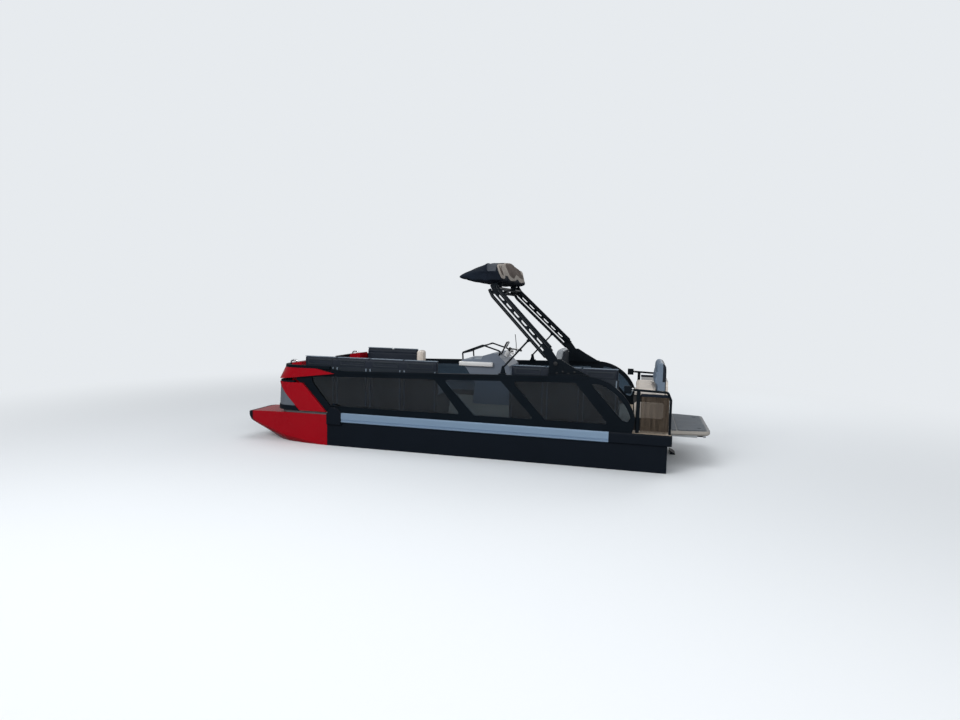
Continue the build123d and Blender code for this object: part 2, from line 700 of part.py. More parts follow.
def bench_base(side, front, rear):
    """Moulded locker under the seats with a toe kick on the aisle side."""
    section = outline([
        (BENCH_IN + TOE_KICK, 0), (BENCH_OUT, 0), (BENCH_OUT, BASE_HEIGHT),
        (BENCH_IN, BASE_HEIGHT), (BENCH_IN, 110), (BENCH_IN + TOE_KICK, 60)])
    body = extrude(Plane.YZ.offset(rear) * raised(section), amount=front - rear, dir=(1, 0, 0))
    back = block(rear, front, BENCH_OUT - 14, BENCH_OUT, DECK_TOP + BASE_HEIGHT - 1, DECK_TOP + 640)
    body += back
    return body if side > 0 else mirror(body, about=Plane.XZ)


def seat_pads(side, front, rear, count):
    """One seat cushion a place, with rounded edges."""
    pitch = (front - rear) / count
    pads = []
    for index in range(count):
        x = rear + pitch * index
        pad = block(x + PAD_GAP / 2, x + pitch - PAD_GAP / 2, BENCH_IN - 12,
                    BENCH_OUT - BACK_THICK - 26, DECK_TOP + BASE_HEIGHT + SEAT_GAP,
                    DECK_TOP + CUSHION_HIGH)
        pad = fillet(pad.edges().group_by(Axis.Z)[-1], 28)
        pads.append(pad if side > 0 else mirror(pad, about=Plane.XZ))
    return pads


def back_pads(side, front, rear, count):
    """One backrest a place, thicker at the foot, with a rounded top."""
    pitch = (front - rear) / count
    outer = BENCH_OUT - 14 - SEAT_GAP
    section = outline([
        (outer, BASE_HEIGHT + 4), (outer, BACK_TOP), (outer - BACK_THICK + 22, BACK_TOP),
        (outer - BACK_THICK, BASE_HEIGHT + 150), (outer - BACK_THICK - 8, BASE_HEIGHT + 4)])
    pads = []
    for index in range(count):
        x = rear + pitch * index + PAD_GAP / 2
        pad = extrude(Plane.YZ.offset(x) * raised(section), amount=pitch - PAD_GAP, dir=(1, 0, 0))
        pad = fillet(pad.edges().group_by(Axis.Z)[-1], 24)
        pads.append(pad if side > 0 else mirror(pad, about=Plane.XZ))
    return pads


bases, cushions, backs = [], [], []
for side, front, rear, count in BENCH_TABLE:
    bases.append(bench_base(side, front, rear))
    cushions += seat_pads(side, front, rear, count)
    backs += back_pads(side, front, rear, count)
save("bench_bases", group(*bases))
save("bench_cushions", group(*cushions))
save("bench_backrests", group(*backs))


# Stern lounge

LOUNGE_X = (DECK_STERN + 472, DECK_STERN + 40)
LOUNGE_Y = (-450, FENCE_OUT - 115)
LOUNGE_BACK_HALF = 400
TABLE_WIDE = 320


def lounge_base():
    body = block(LOUNGE_X[1] + 22, LOUNGE_X[0], LOUNGE_Y[0], LOUNGE_Y[1], DECK_TOP, DECK_TOP + 372)
    body = fillet(body.edges().filter_by(Axis.Z), 40)
    rear_shell = block(LOUNGE_X[1], LOUNGE_X[1] + 26, -LOUNGE_BACK_HALF - 40, LOUNGE_BACK_HALF + 40,
                       DECK_TOP, DECK_TOP + 570)
    rear_shell = fillet(rear_shell.edges().filter_by(Axis.X).group_by(Axis.Z)[-1], 60)
    table = block(LOUNGE_X[1] + 60, LOUNGE_X[0] - 4, LOUNGE_Y[1] - TABLE_WIDE, LOUNGE_Y[1], DECK_TOP + 360, DECK_TOP + 496)
    table = fillet(table.edges().group_by(Axis.Z)[-1], 30)
    return body + rear_shell + table


def lounge_cushion():
    pads = []
    for y0, y1 in ((LOUNGE_Y[0] + 4, 150), (158, LOUNGE_Y[1] - TABLE_WIDE - 4)):
        pad = block(LOUNGE_X[1] + 146, LOUNGE_X[0] - 4, y0, y1, DECK_TOP + 372 + SEAT_GAP, DECK_TOP + 490)
        pads.append(fillet(pad.edges().group_by(Axis.Z)[-1], 26))
    return group(*pads)


def lounge_backrest():
    """Wedge that leans aft, with a head roll at the top."""
    foot = 372 + SEAT_GAP
    side = raised(outline([(LOUNGE_X[1] + x, z) for x, z in (
        (138, foot), (26.3, foot), (26.3, 560), (28, 700), (32, 770), (50, 812), (90, 830),
        (132, 822), (155, 785), (152, 740), (180, 560), (138, 500))]))
    return side_prism(side, -LOUNGE_BACK_HALF, LOUNGE_BACK_HALF)


save("stern_lounge", lounge_base())
save("lounge_cushions", lounge_cushion())
save("lounge_backrest", lounge_backrest())


# Helm

def console_point(back, z):
    """Side view point by its distance behind the console's front."""
    return (CONSOLE_FRONT - back, z)


def helm_console():
    """Leaning body with a forward shelf and a raised dash."""
    side = raised(outline([
        console_point(874, 0), console_point(189, 0), console_point(224, 330), console_point(74, 560),
        console_point(0, SHELF_TOP - 94), console_point(0, SHELF_TOP - 14), console_point(314, SHELF_TOP),
        console_point(344, DASH_TOP - 46), console_point(514, DASH_TOP), console_point(564, DASH_TOP),
        console_point(764, DASH_TOP - 196), console_point(804, 440)]))
    body = side_prism(side, CONSOLE_OUT, CONSOLE_IN)
    body = fillet(body.edges().filter_by(Axis.Y).group_by(Axis.X)[-1], 20)
    step = block(CONSOLE_FRONT - 424, CONSOLE_FRONT + 16, CONSOLE_OUT - 1, CONSOLE_OUT + 60,
                 DECK_TOP + SHELF_TOP, DECK_TOP + SHELF_TOP + 126)
    return body - step


def column_point(along, side=0, ahead=0):
    """Point in the steering column's own frame, which leans aft."""
    tilt = radians(COLUMN_TILT)
    x = HUB_X - sin(tilt) * along + cos(tilt) * ahead
    z = DECK_TOP + HUB_Z + cos(tilt) * along + sin(tilt) * ahead
    return (x, HUB_Y + side, z)


def helm_bezel():
    """Fixed collar on the dash that the steering column turns in."""
    ring = rod(column_point(-165), column_point(-30), 40)
    return ring - rod(column_point(COLUMN_END), column_point(0), COLUMN_TUBE + SEAT_GAP)


def handlebar():
    """Column, clamp and swept bar with two grips."""
    column = rod(column_point(COLUMN_END + SEAT_GAP), column_point(20), COLUMN_TUBE)
    clamp = rod(column_point(-6), column_point(26), 34)
    bar = bent_tube([
        column_point(34, -330, -105), column_point(30, -190, -60), column_point(10, -60, 0),
        column_point(10, 60, 0), column_point(30, 190, -60), column_point(34, 330, -105)], 11, 50)
    grips = []
    for side in (-1, 1):
        inner = Vector(*column_point(31.4, side * 220, -69.6))
        outer = Vector(*column_point(34.6, side * 342, -108.8))
        grips.append(rod(tuple(inner), tuple(outer), 17))
    return column + clamp + bar + grips[0] + grips[1]


def helm_display():
    """Instrument on a stalk ahead of the bar."""
    y = HUB_Y + 150
    case = Pos(CONSOLE_FRONT - 672, y, DECK_TOP + DASH_TOP + 130) * Rot(0, -28, 0) * Box(26, 150, 104)
    case = fillet(case.edges(), 6)
    stalk = rod((CONSOLE_FRONT - 570, y, DECK_TOP + DASH_TOP - 66),
                (CONSOLE_FRONT - 658, y, DECK_TOP + DASH_TOP + 119), 12)
    return case + stalk - helm_console()


def windscreen_frame():
    """Low hoop: two side bars, a front bar and a crown bar."""
    inset = 24
    bars = []
    for y in (CONSOLE_IN - inset, CONSOLE_OUT + 60 + inset):
        corners = [console_point(12, SHELF_TOP - 10), console_point(4, SHELF_TOP + 96),
                   console_point(332, SHELF_TOP + 222), console_point(619, DASH_TOP + 32),
                   console_point(600, DASH_TOP - 34)]
        bars.append(bent_tube([(x, y, DECK_TOP + z) for x, z in corners], BAR_RADIUS, 28))
    low, high = CONSOLE_OUT + 60 + inset, CONSOLE_IN - inset
    front_x, front_z = console_point(8, DECK_TOP + SHELF_TOP + 86)
    crown_x, crown_z = console_point(332, DECK_TOP + SHELF_TOP + 214)
    front = rod((front_x, low, front_z), (front_x, high, front_z), BAR_RADIUS - 2)
    crown = rod((crown_x, low, crown_z), (crown_x, high, crown_z), BAR_RADIUS - 2)
    return bars[0] + bars[1] + front + crown - helm_console()


def windscreen():
    """Smoked pane between the front bar and the crown bar."""
    side = raised(outline([
        console_point(16, SHELF_TOP + 104), console_point(318, SHELF_TOP + 220),
        console_point(320, SHELF_TOP + 214), console_point(18, SHELF_TOP + 98)]))
    inset = 24 + BAR_RADIUS + SEAT_GAP
    return side_prism(side, CONSOLE_OUT + 60 + inset, CONSOLE_IN - inset)


def chair_pedestal():
    base = Pos(CHAIR_X, CHAIR_Y, DECK_TOP + 9) * Cylinder(170, 18)
    column = Pos(CHAIR_X, CHAIR_Y, DECK_TOP + 171) * Cylinder(COLUMN_RADIUS, 306)
    spigot = Pos(CHAIR_X, CHAIR_Y, DECK_TOP + 340) * Cylinder(26, 60)
    return base + column + spigot


def chair_outline(*points):
    """Side view drawn about the chair's axis."""
    return raised(outline([(CHAIR_X + x, z) for x, z in points]))


def pilot_chair():
    """Tub of the chair: a pan and a raked back shell."""
    side = chair_outline(
        (-260, 326), (240, 326), (258, 378), (-182, 378), (-262, 870), (-284, 866), (-302, 380))
    shell = side_prism(side, CHAIR_Y - CHAIR_HALF, CHAIR_Y + CHAIR_HALF)
    socket = Pos(CHAIR_X, CHAIR_Y, DECK_TOP + 345) * Cylinder(26 + SEAT_GAP, 52)
    return shell - socket


def chair_pads():
    """Seat cushion and back cushion, clear of each other."""
    seat = chair_outline((-166, 378 + SEAT_GAP), (262, 378 + SEAT_GAP), (290, 420), (270, 478), (-160, 470))
    back = chair_outline((-185.3, 400), (-167, 486), (-104, 500), (-136, 760), (-164, 898),
                         (-222, 912), (-260, 894), (-261.4, 868))
    inset = 8
    parts = [side_prism(seat, CHAIR_Y - CHAIR_HALF + inset, CHAIR_Y + CHAIR_HALF - inset),
             side_prism(back, CHAIR_Y - CHAIR_HALF + inset, CHAIR_Y + CHAIR_HALF - inset)]
    return parts


save("helm_console", helm_console())
save("helm_bezel", helm_bezel() - helm_console())
save("handlebar", handlebar())
save("helm_display", helm_display())
save("windscreen_frame", windscreen_frame())
save("windscreen", windscreen())
save("chair_pedestal", chair_pedestal())
save("pilot_chair", pilot_chair())
seat_pad, back_pad = chair_pads()
save("chair_cushions", group(seat_pad, back_pad - pilot_chair()))


# Tower. A leg is drawn upright in its own plane, then leans inboard above its hinge.

LEAN_STRETCH = 1 / cos(radians(TOWER_LEAN))
LEG_LINE = [(HINGE_X + 99, HINGE_Z + 118), (HINGE_X + 882, HINGE_Z + 886), (HINGE_X + 928, HINGE_Z + 968)]
LEG_BEND = 90
WEB_THICK = 10
CROSSBAR_BACK = 12
CROSSBAR_DROP = 32
TOW_PIN = 12
TOW_PIN_LENGTH = 62
TOW_COLLAR = 8
TOW_BLOCK_HALF = 60
CANOPY_MOUNT_Y = 500
SLOT_COUNT = 6


def lean_point(x, z, across=0):
    """Point of the port leg's leaning plane, across counted to port."""
    rise = (z - LEAN_START) * LEAN_STRETCH
    lean = radians(TOWER_LEAN)
    y = TOWER_Y - sin(lean) * rise + cos(lean) * across
    height = LEAN_START + cos(lean) * rise + sin(lean) * across
    return (x, y, DECK_TOP + height)


def leg_edge(offset_by):
    """The leg's centre line moved sideways in its own plane."""
    (x0, z0), (x1, z1), (x2, z2) = LEG_LINE
    lower = Vector(x1 - x0, z1 - z0).normalized()
    upper = Vector(x2 - x1, z2 - z1).normalized()
    half_turn = (atan2(upper.Y, upper.X) - atan2(lower.Y, lower.X)) / 2
    start = (x0 + lower.Y * offset_by, z0 - lower.X * offset_by)
    mitre = (lower + upper).normalized()
    reach = offset_by / cos(half_turn)
    corner = (x1 + mitre.Y * reach, z1 - mitre.X * reach)
    end = (x2 + upper.Y * offset_by, z2 - upper.X * offset_by)
    return [start, corner, end]


def leg_plane_prism(face, half_thick):
    """Outline in X and height, as a plate in the leaning plane."""
    plate = side_prism(face, -half_thick, half_thick)
    plate = Pos(0, 0, -LEAN_START) * plate
    plate = scale(plate, (1, 1, LEAN_STRETCH))
    return Pos(0, TOWER_Y, DECK_TOP + LEAN_START) * Rot(TOWER_LEAN, 0, 0) * plate


def tower_leg():
    """Two bent tubes joined by a slotted web, with a hinge lug at the foot."""
    half = LEG_SPACING / 2
    leg = None
    for offset_by in (-half, half):
        points = [lean_point(x, z) for x, z in leg_edge(offset_by)]
        tube = bent_tube(points, LEG_TUBE, LEG_BEND)
        leg = tube if leg is None else leg + tube
    rear, front = leg_edge(-half), leg_edge(half)
    web = leg_plane_prism(outline([rear[0], rear[1], rear[2], front[2], front[1], front[0]]), WEB_THICK / 2)
    (x0, z0), (x1, z1) = LEG_LINE[:2]
    run = hypot(x1 - x0, z1 - z0)
    along = Vector(x1 - x0, z1 - z0).normalized()
    angle = degrees(atan2(along.Y, along.X))
    pitch = (run - 150) / SLOT_COUNT
    for index in range(SLOT_COUNT):
        distance = 90 + pitch * (index + 0.5)
        slot = Pos(x0 + along.X * distance, z0 + along.Y * distance) * Rot(0, 0, angle) * SlotOverall(
            pitch - 42, LEG_SPACING - 2 * LEG_TUBE - 6)
        web -= leg_plane_prism(slot, WEB_THICK)
    leg += web
    lug = raised(make_hull([
        *(Pos(HINGE_X, HINGE_Z) * Circle(LUG_RADIUS)).edges(),
        *(Pos(LEG_LINE[0][0] + 12, LEG_LINE[0][1] + 12) * Circle(LUG_RADIUS + 12)).edges()]))
    leg += side_prism(lug, TOWER_Y - LUG_THICK / 2 - 8, TOWER_Y + LUG_THICK / 2)
    leg -= cross_pin(HINGE_X, DECK_TOP + HINGE_Z, TOWER_Y - 80, TOWER_Y + 80, TOWER_PIN + SEAT_GAP)
    boss = rod((STRUT_TOP_X, STRUT_Y - 70, DECK_TOP + STRUT_TOP_Z),
               (STRUT_TOP_X, STRUT_Y - STRUT_RADIUS - 2, DECK_TOP + STRUT_TOP_Z), STRUT_EYE)
    pin = rod((STRUT_TOP_X, STRUT_Y - 40, DECK_TOP + STRUT_TOP_Z),
              (STRUT_TOP_X, STRUT_Y + STRUT_RADIUS + 4, DECK_TOP + STRUT_TOP_Z), STRUT_PIN)
    return leg + boss + pin


def tower_foot():
    """Two gusset plates on the side rail with the hinge pin through them."""
    front, rear = HINGE_X + 85, HINGE_X - 410
    side = raised(outline([
        (front, rail_top(front - 5) + 1), (front, HINGE_Z - 20), (front - 5, HINGE_Z + 52),
        (HINGE_X - 65, HINGE_Z + 56), (HINGE_X - 190, HINGE_Z - 20), (rear, rail_top(rear) + 1)]))
    plates = []
    lug_in = TOWER_Y - LUG_THICK / 2 - 8
    lug_out = TOWER_Y + LUG_THICK / 2
    for y0, y1 in ((lug_out + MOVING_GAP, lug_out + MOVING_GAP + FOOT_PLATE),
                   (lug_in - MOVING_GAP - FOOT_PLATE, lug_in - MOVING_GAP)):
        plates.append(side_prism(side, y0, y1))
    pad = raised(outline([
        (front, rail_top(front) + SEAT_GAP), (rear, rail_top(rear) + SEAT_GAP), (rear, rail_top(rear) + 12),
        (rear + 90, rail_top(rear + 90) + 26), (front, rail_top(front) + 26)]))
    base = side_prism(pad, lug_in - MOVING_GAP - FOOT_PLATE, FENCE_OUT)
    pin = cross_pin(HINGE_X, DECK_TOP + HINGE_Z, lug_in - MOVING_GAP - FOOT_PLATE - 8,
                    lug_out + MOVING_GAP + FOOT_PLATE + 8, TOWER_PIN)
    return plates[0] + plates[1] + base + pin


def crossbar_centres():
    """Where the two cross tubes meet the leg heads: x, half length and height."""
    centres = []
    for offset_by in (-LEG_SPACING / 2, LEG_SPACING / 2):
        x, z = leg_edge(offset_by)[2]
        x_top, y_top, z_top = lean_point(x, z)
        centres.append((x_top - CROSSBAR_BACK, y_top, z_top - CROSSBAR_DROP))
    return centres


def tower_crossbar():
    """Two tubes between the leg heads, a middle block and a tow pin."""
    rear, front = crossbar_centres()
    bar = rod((rear[0], -rear[1], rear[2]), (rear[0], rear[1], rear[2]), LEG_TUBE)
    bar += rod((front[0], -front[1], front[2]), (front[0], front[1], front[2]), LEG_TUBE)
    joined = make_hull([*(Pos(rear[0], rear[2]) * Circle(LEG_TUBE - 4)).edges(),
                        *(Pos(front[0], front[2]) * Circle(LEG_TUBE - 4)).edges()])
    bar += side_prism(joined, -TOW_BLOCK_HALF, TOW_BLOCK_HALF)
    collar_x = rear[0] - LEG_TUBE - TOW_COLLAR
    bar += rod((rear[0], 0, rear[2]), (collar_x, 0, rear[2]), TOW_PIN + TOW_COLLAR)
    return bar + rod((collar_x, 0, rear[2]), (collar_x - TOW_PIN_LENGTH, 0, rear[2]), TOW_PIN)


def canopy_mount():
    """Standing bracket between the cross tubes and the boot."""
    rear, front = crossbar_centres()
    return block(rear[0], front[0], CANOPY_MOUNT_Y, CANOPY_MOUNT_Y + 12, front[2], DECK_TOP + BOOT_MIDDLE[1] - 110)


def strut():
    """Brace from the leg to the rail, its lower end an open hook."""
    top = (STRUT_TOP_X, STRUT_Y, DECK_TOP + STRUT_TOP_Z)
    foot = (STRUT_FOOT_X, STRUT_Y, DECK_TOP + STRUT_FOOT_Z)
    way = Vector(foot[0] - top[0], 0, foot[2] - top[2]).normalized()
    low = (foot[0] - way.X * 14, STRUT_Y, foot[2] - way.Z * 14)
    high = (top[0] + way.X * 14, STRUT_Y, top[2] + way.Z * 14)
    bar = rod(high, low, STRUT_RADIUS)
    eye = cross_pin(top[0], top[2], STRUT_Y - EYE_HALF, STRUT_Y + EYE_HALF, STRUT_EYE)
    end = cross_pin(foot[0], foot[2], STRUT_Y - EYE_HALF, STRUT_Y + EYE_HALF, STRUT_EYE)
    body = bar + eye + end
    body -= cross_pin(top[0], top[2], STRUT_Y - 40, STRUT_Y + 40, STRUT_PIN + SEAT_GAP)
    notch = STRUT_PIN + 1.5
    body -= cross_pin(foot[0], foot[2], STRUT_Y - 40, STRUT_Y + 40, notch)
    mouth = Pos(foot[0], STRUT_Y, foot[2]) * Rot(0, -17, 0) * Pos(-20, 0, 0) * Box(40, 60, 2 * notch)
    return body - mouth


def strut_bracket():
    """Saddle on the side rail with the pin that the strut hooks on."""
    base_z = rail_top(STRUT_FOOT_X)
    pad = raised(outline([
        (STRUT_FOOT_X - 45, rail_top(STRUT_FOOT_X - 45) + SEAT_GAP), (STRUT_FOOT_X + 45, rail_top(STRUT_FOOT_X + 45) + SEAT_GAP),
        (STRUT_FOOT_X + 45, base_z + 16), (STRUT_FOOT_X - 45, base_z + 16)]))
    inner = STRUT_Y + STRUT_RADIUS + 8
    base = side_prism(pad, inner, FENCE_OUT)
    ear = raised(make_hull([
        *(Pos(STRUT_FOOT_X, STRUT_FOOT_Z) * Circle(18)).edges(),
        *(Pos(STRUT_FOOT_X - 30, base_z + 8) * Circle(6)).edges(),
        *(Pos(STRUT_FOOT_X + 30, base_z + 8) * Circle(6)).edges()]))
    wall = side_prism(ear, inner, inner + 12)
    pin = cross_pin(STRUT_FOOT_X, DECK_TOP + STRUT_FOOT_Z, STRUT_Y - STRUT_RADIUS - 4, inner + 6, STRUT_PIN)
    return base + wall + pin


save("port_tower_leg", tower_leg())
save("starboard_tower_leg", mirror(tower_leg(), about=Plane.XZ))
both_legs = group(tower_leg(), mirror(tower_leg(), about=Plane.XZ))
crossbar = tower_crossbar() - both_legs
save("tower_crossbar", crossbar)
save("tower_feet", port_and_starboard(tower_foot()))
save("tower_struts", port_and_starboard(strut()))
save("strut_brackets", port_and_starboard(strut_bracket()))


# Canopy boot over the tower head: station y, then the section's growth

BOOT_HALF = TOWER_Y - 230
BOOT_STATIONS = [(-BOOT_HALF, 0.45), (40 - BOOT_HALF, 0.9), (0, 1.3), (BOOT_HALF - 40, 0.9), (BOOT_HALF, 0.45)]
BOOT_MIDDLE = (HINGE_X + 1010, HINGE_Z + 1190)
BOOT_UPPER = [(450, -85), (10, 108), (-180, 116), (-228, -10)]  # grows with the station
BOOT_LOWER = [(-242, -128), (-30, -143), (190, -136)]


def canopy_boot():
    """Rolled canopy in its bag, drawn out to a thin front edge."""
    sections = []
    for y, growth in BOOT_STATIONS:
        points = [(BOOT_MIDDLE[0] + x * (0.8 + growth / 5), BOOT_MIDDLE[1] - 60 + (z + 60) * growth)
                  for x, z in BOOT_UPPER]
        points += [(BOOT_MIDDLE[0] + x, BOOT_MIDDLE[1] + z) for x, z in BOOT_LOWER]
        sections.append(Plane.XZ.offset(-y) * raised(outline(points, 12)))
    return loft(sections, ruled=True)


boot = canopy_boot()
save("canopy_boot", boot)
save("canopy_mounts", port_and_starboard(canopy_mount() - crossbar - boot))


# Stern rails, nets and platform

def stern_rail():
    """Tube from the fence's curve to the stern corner, with its post and clamp."""
    corner_x = DECK_STERN + 30
    tube = bent_tube([
        (DECK_STERN + 590, RAIL_Y, DECK_TOP + 540), (corner_x + 40, RAIL_Y, DECK_TOP + 522),
        (corner_x, RAIL_Y, DECK_TOP + 430), (corner_x, RAIL_Y, DECK_TOP)], RAIL_TUBE, 28)
    post = block(DECK_STERN + 395, DECK_STERN + 440, RAIL_Y - 22, RAIL_Y + 22, DECK_TOP, DECK_TOP + 520)
    post = fillet(post.edges().filter_by(Axis.Z), 8)
    clamp = block(DECK_STERN + 505, DECK_STERN + 595, RAIL_Y - 32, RAIL_Y + 14, DECK_TOP + 486, DECK_TOP + 582)
    clamp = fillet(clamp.edges().filter_by(Axis.X), 12)
    return tube + post + clamp


def stern_net():
    """Hung net, gathered, with a thick upper hem."""
    x0, x1 = DECK_STERN + 40, DECK_STERN + 388
    waves = 12
    step = (x1 - x0) / waves
    outer = [(x0 + step * index, RAIL_Y + (4 if index % 2 else -2)) for index in range(waves + 1)]
    inner = [(x, y - 3) for x, y in reversed(outer)]
    net = plan_prism(outline(outer + inner), DECK_TOP + 12, DECK_TOP + 470)
    hem = block(x0, x1, RAIL_Y - 6, RAIL_Y + 5, DECK_TOP + 452, DECK_TOP + 492)
    return net + hem


SOCKET_X = 125 - HALF_LENGTH
SOCKET_Y = 430
SOCKET_RADIUS = 15


def swim_platform():
    """Tapered slab with rounded rear corners, its rear edge bevelled."""
    top = DECK_TOP - PLATFORM_DROP
    face = make_face(Polyline(
        (DECK_STERN - SEAT_GAP, -PLATFORM_FRONT_HALF), (-HALF_LENGTH, -PLATFORM_END_HALF),
        (-HALF_LENGTH, PLATFORM_END_HALF), (DECK_STERN - SEAT_GAP, PLATFORM_FRONT_HALF), close=True))
    rear = face.vertices().group_by(Axis.X)[0]
    face = fillet(rear, 70)
    slab = plan_prism(face, top - PLATFORM_THICK, top)
    slab = chamfer(slab.faces().sort_by(Axis.Z)[0].edges().group_by(Axis.X)[0], 22)
    for side in (-1, 1):
        slab -= Pos(SOCKET_X, side * SOCKET_Y, top - 20) * Cylinder(SOCKET_RADIUS, 60)
    return slab


def platform_mats():
    """Two dark mats with a seam between them."""
    top = DECK_TOP - PLATFORM_DROP
    wide, end = PLATFORM_FRONT_HALF - 40, PLATFORM_END_HALF - 30
    x0, x1 = DECK_STERN - 22, DECK_STERN - 82
    front = outline([(x0, -wide), (x1, 10 - wide), (x1, wide - 10), (x0, wide)], 12)
    x0, x1 = DECK_STERN - 98, 40 - HALF_LENGTH
    rear = make_face(Polyline((x0, 5 - wide), (x1, -end), (x1, end), (x0, wide - 5), close=True))
    rear = fillet(rear.vertices(), 40)
    mats = plan_prism(front, top, top + 6) + plan_prism(rear, top, top + 6)
    for side in (-1, 1):
        mats -= Pos(SOCKET_X, side * SOCKET_Y, top) * Cylinder(SOCKET_RADIUS + 9, 20)
    return group(mats)


def ladder_hinge():
    """Two lugs under the platform with the ladder's pin."""
    under = DECK_TOP - PLATFORM_DROP - PLATFORM_THICK
    lugs = None
    for side in (-1, 1):
        y = LADDER_Y + side * (LADDER_HALF + LADDER_TUBE + 10)
        lug = block(LADDER_X - 18, LADDER_X + 18, y - 5, y + 5, LADDER_Z - 16, under - SEAT_GAP)
        lugs = lug if lugs is None else lugs + lug
    pin = cross_pin(LADDER_X, LADDER_Z, LADDER_Y - LADDER_HALF - 34, LADDER_Y + LADDER_HALF + 34, 7)
    return lugs + pin


def boarding_ladder():
    """Two rails and three rungs, stowed flat under the platform."""
    frame = cross_pin(LADDER_X, LADDER_Z, LADDER_Y - LADDER_HALF - 14, LADDER_Y + LADDER_HALF + 14, 14)
    for side in (-1, 1):
        y = LADDER_Y + side * LADDER_HALF
        frame += rod((LADDER_X, y, LADDER_Z), (LADDER_X + LADDER_REACH, y, LADDER_Z), LADDER_TUBE)
    for index in range(3):
        x = LADDER_X + 115 + 130 * index
        frame += block(x - 22, x + 22, LADDER_Y - LADDER_HALF, LADDER_Y + LADDER_HALF, LADDER_Z - 9, LADDER_Z + 9)
    return frame - cross_pin(LADDER_X, LADDER_Z, LADDER_Y - 400, LADDER_Y + 400, 7 + SEAT_GAP)


save("stern_rails", port_and_starboard(stern_rail()))
save("stern_nets", port_and_starboard(stern_net() - stern_rail()))
save("swim_platform", swim_platform())
save("platform_mats", platform_mats())
save("ladder_hinge", ladder_hinge())
save("boarding_ladder", boarding_ladder())


# Jet drive. Radii are about the pump's fore-and-aft axis.

PUMP_END = TRANSOM_X - 200
OUTLET_END = TRANSOM_X - 305
OUTLET_RADIUS = 70
BLADES = 4
VANES = 5


def turned(points):
    """Ring turned about the pump axis from x and radius points."""
    face = Plane.XZ * make_face(Polyline(*points, close=True))
    ring = revolve(face, Axis.X, 360)
    return Pos(0, 0, PUMP_Z) * ring


def jet_pump():
    """Flanged housing with guide vanes, an outlet cone and the nozzle's ears."""
    body = turned([
        (TRANSOM_X - SEAT_GAP, PUMP_BORE), (TRANSOM_X - SEAT_GAP, PUMP_OUT + 25), (TRANSOM_X - 14, PUMP_OUT + 25),
        (TRANSOM_X - 14, PUMP_OUT), (PUMP_END, PUMP_OUT), (PUMP_END - 45, OUTLET_RADIUS),
        (OUTLET_END, OUTLET_RADIUS), (OUTLET_END, OUTLET_RADIUS - 10), (PUMP_END - 40, OUTLET_RADIUS - 10),
        (PUMP_END + 5, PUMP_BORE)])
    hub_x = PUMP_END + 60
    hub = turned([
        (hub_x, SHAFT_RADIUS + SEAT_GAP), (hub_x, 34), (hub_x - 55, 30), (hub_x - 95, 4), (hub_x - 95, 0),
        (hub_x - 70, 0), (hub_x - 70, SHAFT_RADIUS + SEAT_GAP)])
    for index in range(VANES):
        vane = Pos(hub_x - 25, 0, PUMP_Z) * Rot(360 / VANES * index, 0, 0) * Pos(0, 0, (32 + PUMP_BORE + 4) / 2) * Box(
            44, 6, PUMP_BORE + 4 - 32)
        hub += vane
    body += hub
    for side in (-1, 1):
        arm = block(NOZZLE_X - 22, PUMP_END + 30, -20, 20, PUMP_Z + side * 114, PUMP_Z + side * 126)
        pin = rod((NOZZLE_X, 0, PUMP_Z + side * 120), (NOZZLE_X, 0, PUMP_Z + side * 98), 8)
        body += arm + pin
    return body


def impeller():
    """Hub with raked blades on a shaft that runs in the guide-vane hub."""
    hub = turned([
        (TRANSOM_X + 55, 0), (TRANSOM_X + 55, SHAFT_RADIUS), (TRANSOM_X - 28, SHAFT_RADIUS), (TRANSOM_X - 34, 28),
        (PUMP_END + 72, 34), (PUMP_END + 66, SHAFT_RADIUS), (PUMP_END - 2, SHAFT_RADIUS), (PUMP_END - 2, 0)])
    for index in range(BLADES):
        blade = Pos(0, 0, (30 + PUMP_BORE - MOVING_GAP) / 2) * Rot(0, 0, 38) * Box(
            96, 5, PUMP_BORE - MOVING_GAP - 30)
        blade = blade & Pos(0, 0, 0) * Rot(0, 90, 0) * Cylinder(PUMP_BORE - MOVING_GAP, 90)
        hub += Pos(TRANSOM_X - 81, 0, PUMP_Z) * Rot(360 / BLADES * index, 0, 0) * blade
    return hub


def jet_nozzle():
    """Steering nozzle over the pump outlet, with pivots above and below."""
    body = turned([
        (NOZZLE_X + 22, 90), (NOZZLE_X + 22, 101), (NOZZLE_X - 45, 101), (NOZZLE_X - NOZZLE_REACH, 66),
        (NOZZLE_X - NOZZLE_REACH, 56), (NOZZLE_X - 48, 90)])
    for side in (-1, 1):
        boss = rod((NOZZLE_X, 0, PUMP_Z + side * 94), (NOZZLE_X, 0, PUMP_Z + side * 109), 20)
        body += boss
        body -= rod((NOZZLE_X, 0, PUMP_Z + side * 80), (NOZZLE_X, 0, PUMP_Z + side * 115), 8 + SEAT_GAP)
        body += cross_pin(BUCKET_X, PUMP_Z, side * 86, side * 122, 9)
    mouth = NOZZLE_X - NOZZLE_REACH - 1
    bore = turned([(NOZZLE_X - 48, 0), (NOZZLE_X - 48, 90), (mouth, 55.8), (mouth, 0)])
    return body - bore


